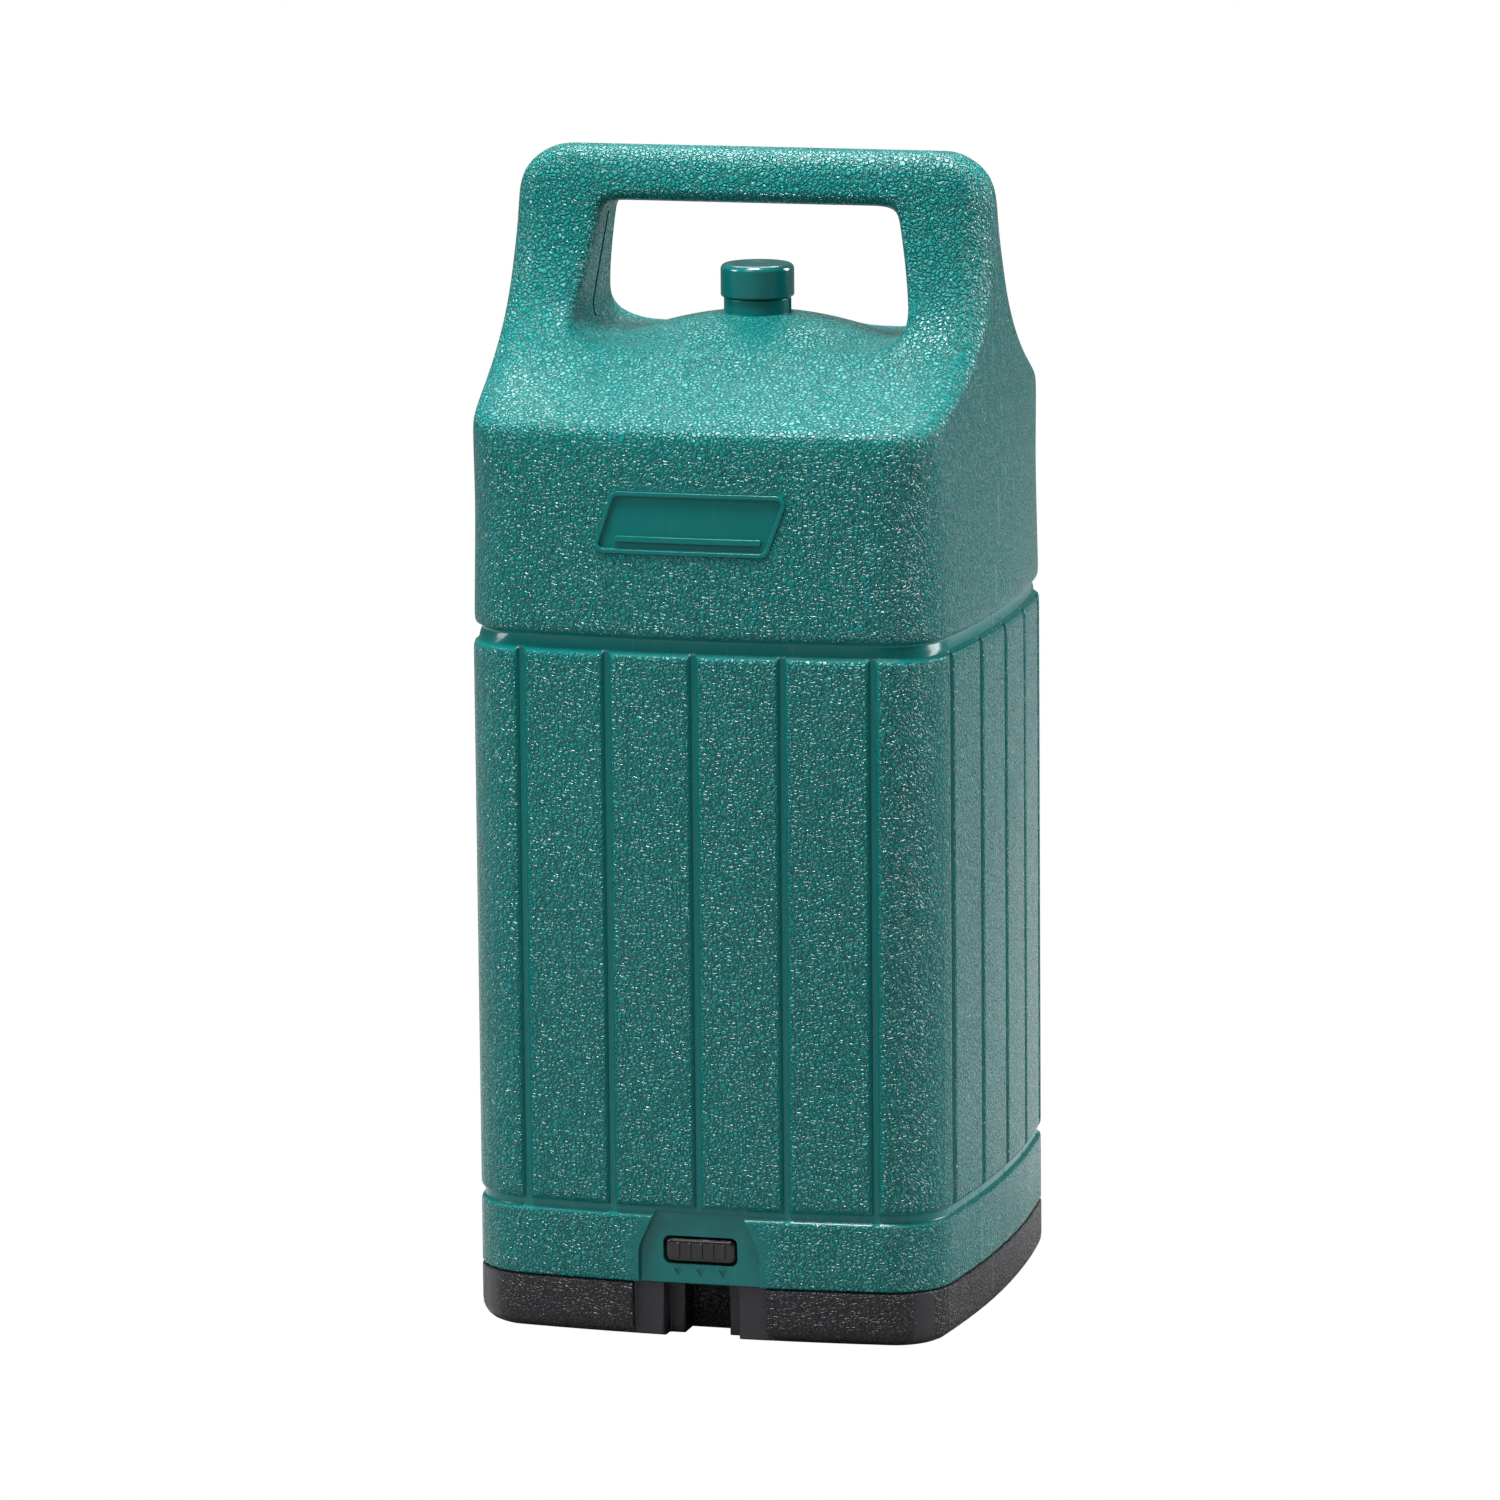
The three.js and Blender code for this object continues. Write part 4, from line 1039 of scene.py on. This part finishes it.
front_cut = prism("plate_cut", plate_outline(0, COVER_BOTTOM - 4, 51.4), -106, -90)
rear_cut = rear_copy(front_cut, "rear_plate_cut")
cut_away(cover, front_cut, solver="FAST")
cut_away(cover, rear_cut, solver="FAST")
plate = prism("latch_plate", plate_outline(2.2, COVER_BOTTOM, 54.0), PLATE_FACE, PLATE_BACK)
cut_away(plate, prism("window_cut", latch_window(0), -100, -90))
for x in (-9, 0, 9):
    arrow = rounded_outline([(x - 1.7, 28.0, 0), (x, 25.4, 0), (x + 1.7, 28.0, 0)])
    cut_away(plate, prism("arrow_cut", arrow, -100, PLATE_FACE + 0.5))
crisp_bevel(plate, 0.35)
rear_plate = rear_copy(plate, "rear_latch_plate")

# Neck on the dome, with the thin flash that the two halves of the tool leave on it.
NECK_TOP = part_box("top_cap")[0][2] / mm + 13.9
neck = round_bar("neck", 13.2, (0, 0, 388), (0, 0, NECK_TOP), sides=48, rounding=0.6)
for piece in (cover, neck):
    cut_away(piece, round_bar("bore", 9.4, (0, 0, 365), (0, 0, 410)), solver="FAST")
flashes = [block("flash", (side * 12.6 - 1.1, -0.5, 390.5), (side * 12.6 + 1.1, 0.5, NECK_TOP - 0.3), 0.3)
           for side in (-1, 1)]

# Parting grooves up the two side walls of the opening.
for side in (-1, 1):
    groove = block("parting_groove", (-1.5, -1.1, -24), (1.2, 1.1, 20))
    lean = Matrix.Rotation(side * math.radians(-10.5), 4, "Y")
    groove.data.transform(Matrix.Translation((side * 63.3 * mm, 0, 411 * mm)) @ lean)
    cut_away(cover, groove, solver="FAST")

# Badge: a slanted raised frame with a smooth field sunk inside it and one plain bar.
FRAME_CORNERS = [(-40.6, 310.5, 3.6), (29.8, 310.5, 3.6), (38.7, 334.7, 3.6), (-32.3, 334.7, 3.6)]
FACE_Y = -99.38
FIELD_DEPTH = 0.9


def follow_face(piece):
    """Cuts a badge piece into strips and bends it to the bow and lean of the face."""
    edit(piece)
    for step in range(-8, 9):
        bpy.ops.mesh.select_all(action="SELECT")
        bpy.ops.mesh.bisect(plane_co=(step * 5 * mm, 0, 0), plane_no=(1, 0, 0))
    bpy.ops.object.mode_set(mode="OBJECT")
    for vertex in piece.data.vertices:
        bend = BOW * 100 * (vertex.co.x / mm / HALF) ** 2
        vertex.co.y += (bend + (vertex.co.z / mm - 310) * 0.02) * mm


frame_line = rounded_outline(FRAME_CORNERS)
centre_x, centre_z = -1.1, 322.6
sunk = [(centre_x + (x - centre_x) * 0.985, centre_z + (z - centre_z) * 0.96) for x, z in frame_line]
room = prism("badge_room", sunk, FACE_Y - 3, FACE_Y + 1.3)
follow_face(room)
cut_away(cover, room, solver="FAST")
badge = prism("badge", frame_line, FACE_Y - 0.5, FACE_Y + 2.0)
edit(badge)
bpy.ops.mesh.select_mode(type="FACE")
cage = bmesh.from_edit_mesh(badge.data)
for face in cage.faces:
    face.select_set(face.normal.y < -0.9)
bmesh.update_edit_mesh(badge.data)
bpy.ops.mesh.inset(thickness=1.6 * mm)
bpy.ops.mesh.extrude_region_move(TRANSFORM_OT_translate={"value": (0, (0.5 + FIELD_DEPTH) * mm, 0)})
bpy.ops.mesh.inset(thickness=0.4 * mm)
bpy.ops.object.mode_set(mode="OBJECT")
BAR_CORNERS = [(-31.5, 315.1, 0.8), (27.0, 315.1, 0.8), (27.9, 317.4, 0.8), (-30.6, 317.4, 0.8)]
bar = prism("badge_bar", rounded_outline(BAR_CORNERS), FACE_Y - 0.3, FACE_Y + 1.6)
for piece in (badge, bar):
    crisp_bevel(piece, 0.32, segments=3, degrees=50)
join_into(badge, bar)
follow_face(badge)

join_into(cover, plate, rear_plate, neck, *flashes, badge)
soften(cover, 38)

# Its last figure darkens the smooth areas, groove floors, latch plates and the inside: painted shade.
cover_green = moulded_plastic(
    "cover_green", (0.001, 0.176, 0.168), (0.45, 0.62, 0.60), 0.0018, 0.00056, 0.21, 0.6, 0.72)
paint(cover, cover_green)
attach(cover, "cover")
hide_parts("cover_shell")

# ---- Top cap -----------------------------------------------------------------------------------
# A small turned-looking plug pressed into the neck. It comes from a polished tool, so it is smooth,
# darker and far glossier than the cover.

(_, _, cap_low), (cap_radius, _, cap_top) = [[v / mm for v in corner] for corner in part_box("top_cap")]
cap = round_bar("top_cap_plug", cap_radius, (0, 0, cap_low + 14.1), (0, 0, cap_top), sides=72)
edit(cap)
bpy.ops.mesh.select_mode(type="FACE")
cage = bmesh.from_edit_mesh(cap.data)
for face in cage.faces:
    face.select_set(face.normal.z > 0.9)
bmesh.update_edit_mesh(cap.data)
bpy.ops.mesh.inset(thickness=4.2 * mm)
bpy.ops.mesh.inset(thickness=1.6 * mm)
bpy.ops.transform.translate(value=(0, 0, -0.8 * mm))
bpy.ops.mesh.inset(thickness=3.0 * mm)
bpy.ops.mesh.select_mode(type="EDGE")
bpy.ops.mesh.select_all(action="DESELECT")
choose_edges(cap, lambda a, b, edge: a.z > cap_top - 0.01 and b.z > cap_top - 0.01
             and min(a.xy.length, b.xy.length) > cap_radius - 0.1)
bpy.ops.mesh.bevel(offset=2.2 * mm, segments=6, profile=0.5)
choose_edges(cap, lambda a, b, edge: max(a.z, b.z) < cap_low + 14.2)
bpy.ops.mesh.bevel(offset=0.9 * mm, segments=3, profile=0.5)
bpy.ops.object.mode_set(mode="OBJECT")
stem = round_bar("cap_stem", 9.0, (0, 0, cap_low), (0, 0, cap_low + 15), sides=40, rounding=0.8)
join_into(cap, stem)
soften(cap, 40)

cap_green = bpy.data.materials.new("cap_green")
cap_green.use_nodes = True
tree = cap_green.node_tree
shader = tree.nodes["Principled BSDF"]
shader.inputs["Coat Weight"].default_value = 0.3
shader.inputs["Coat Roughness"].default_value = 0.12
place = tree.nodes.new("ShaderNodeTexCoord").outputs["Object"]
clouds = new_node(tree, "ShaderNodeTexNoise", Scale=60.0, Detail=3.0)
tree.links.new(place, clouds.inputs["Vector"])
tint = mix_colors(tree, clouds.outputs[0], (0.002, 0.096, 0.093), (0.003, 0.120, 0.116))
tree.links.new(tint, shader.inputs["Base Color"])
tree.links.new(ramp(tree, clouds.outputs[0], 0.3, 0.7, 0.11, 0.17), shader.inputs["Roughness"])
add_bump(tree, clouds.outputs[0], 0.3, 0.0002)
paint(cap, cap_green)
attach(cap, "cover")
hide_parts("top_cap")
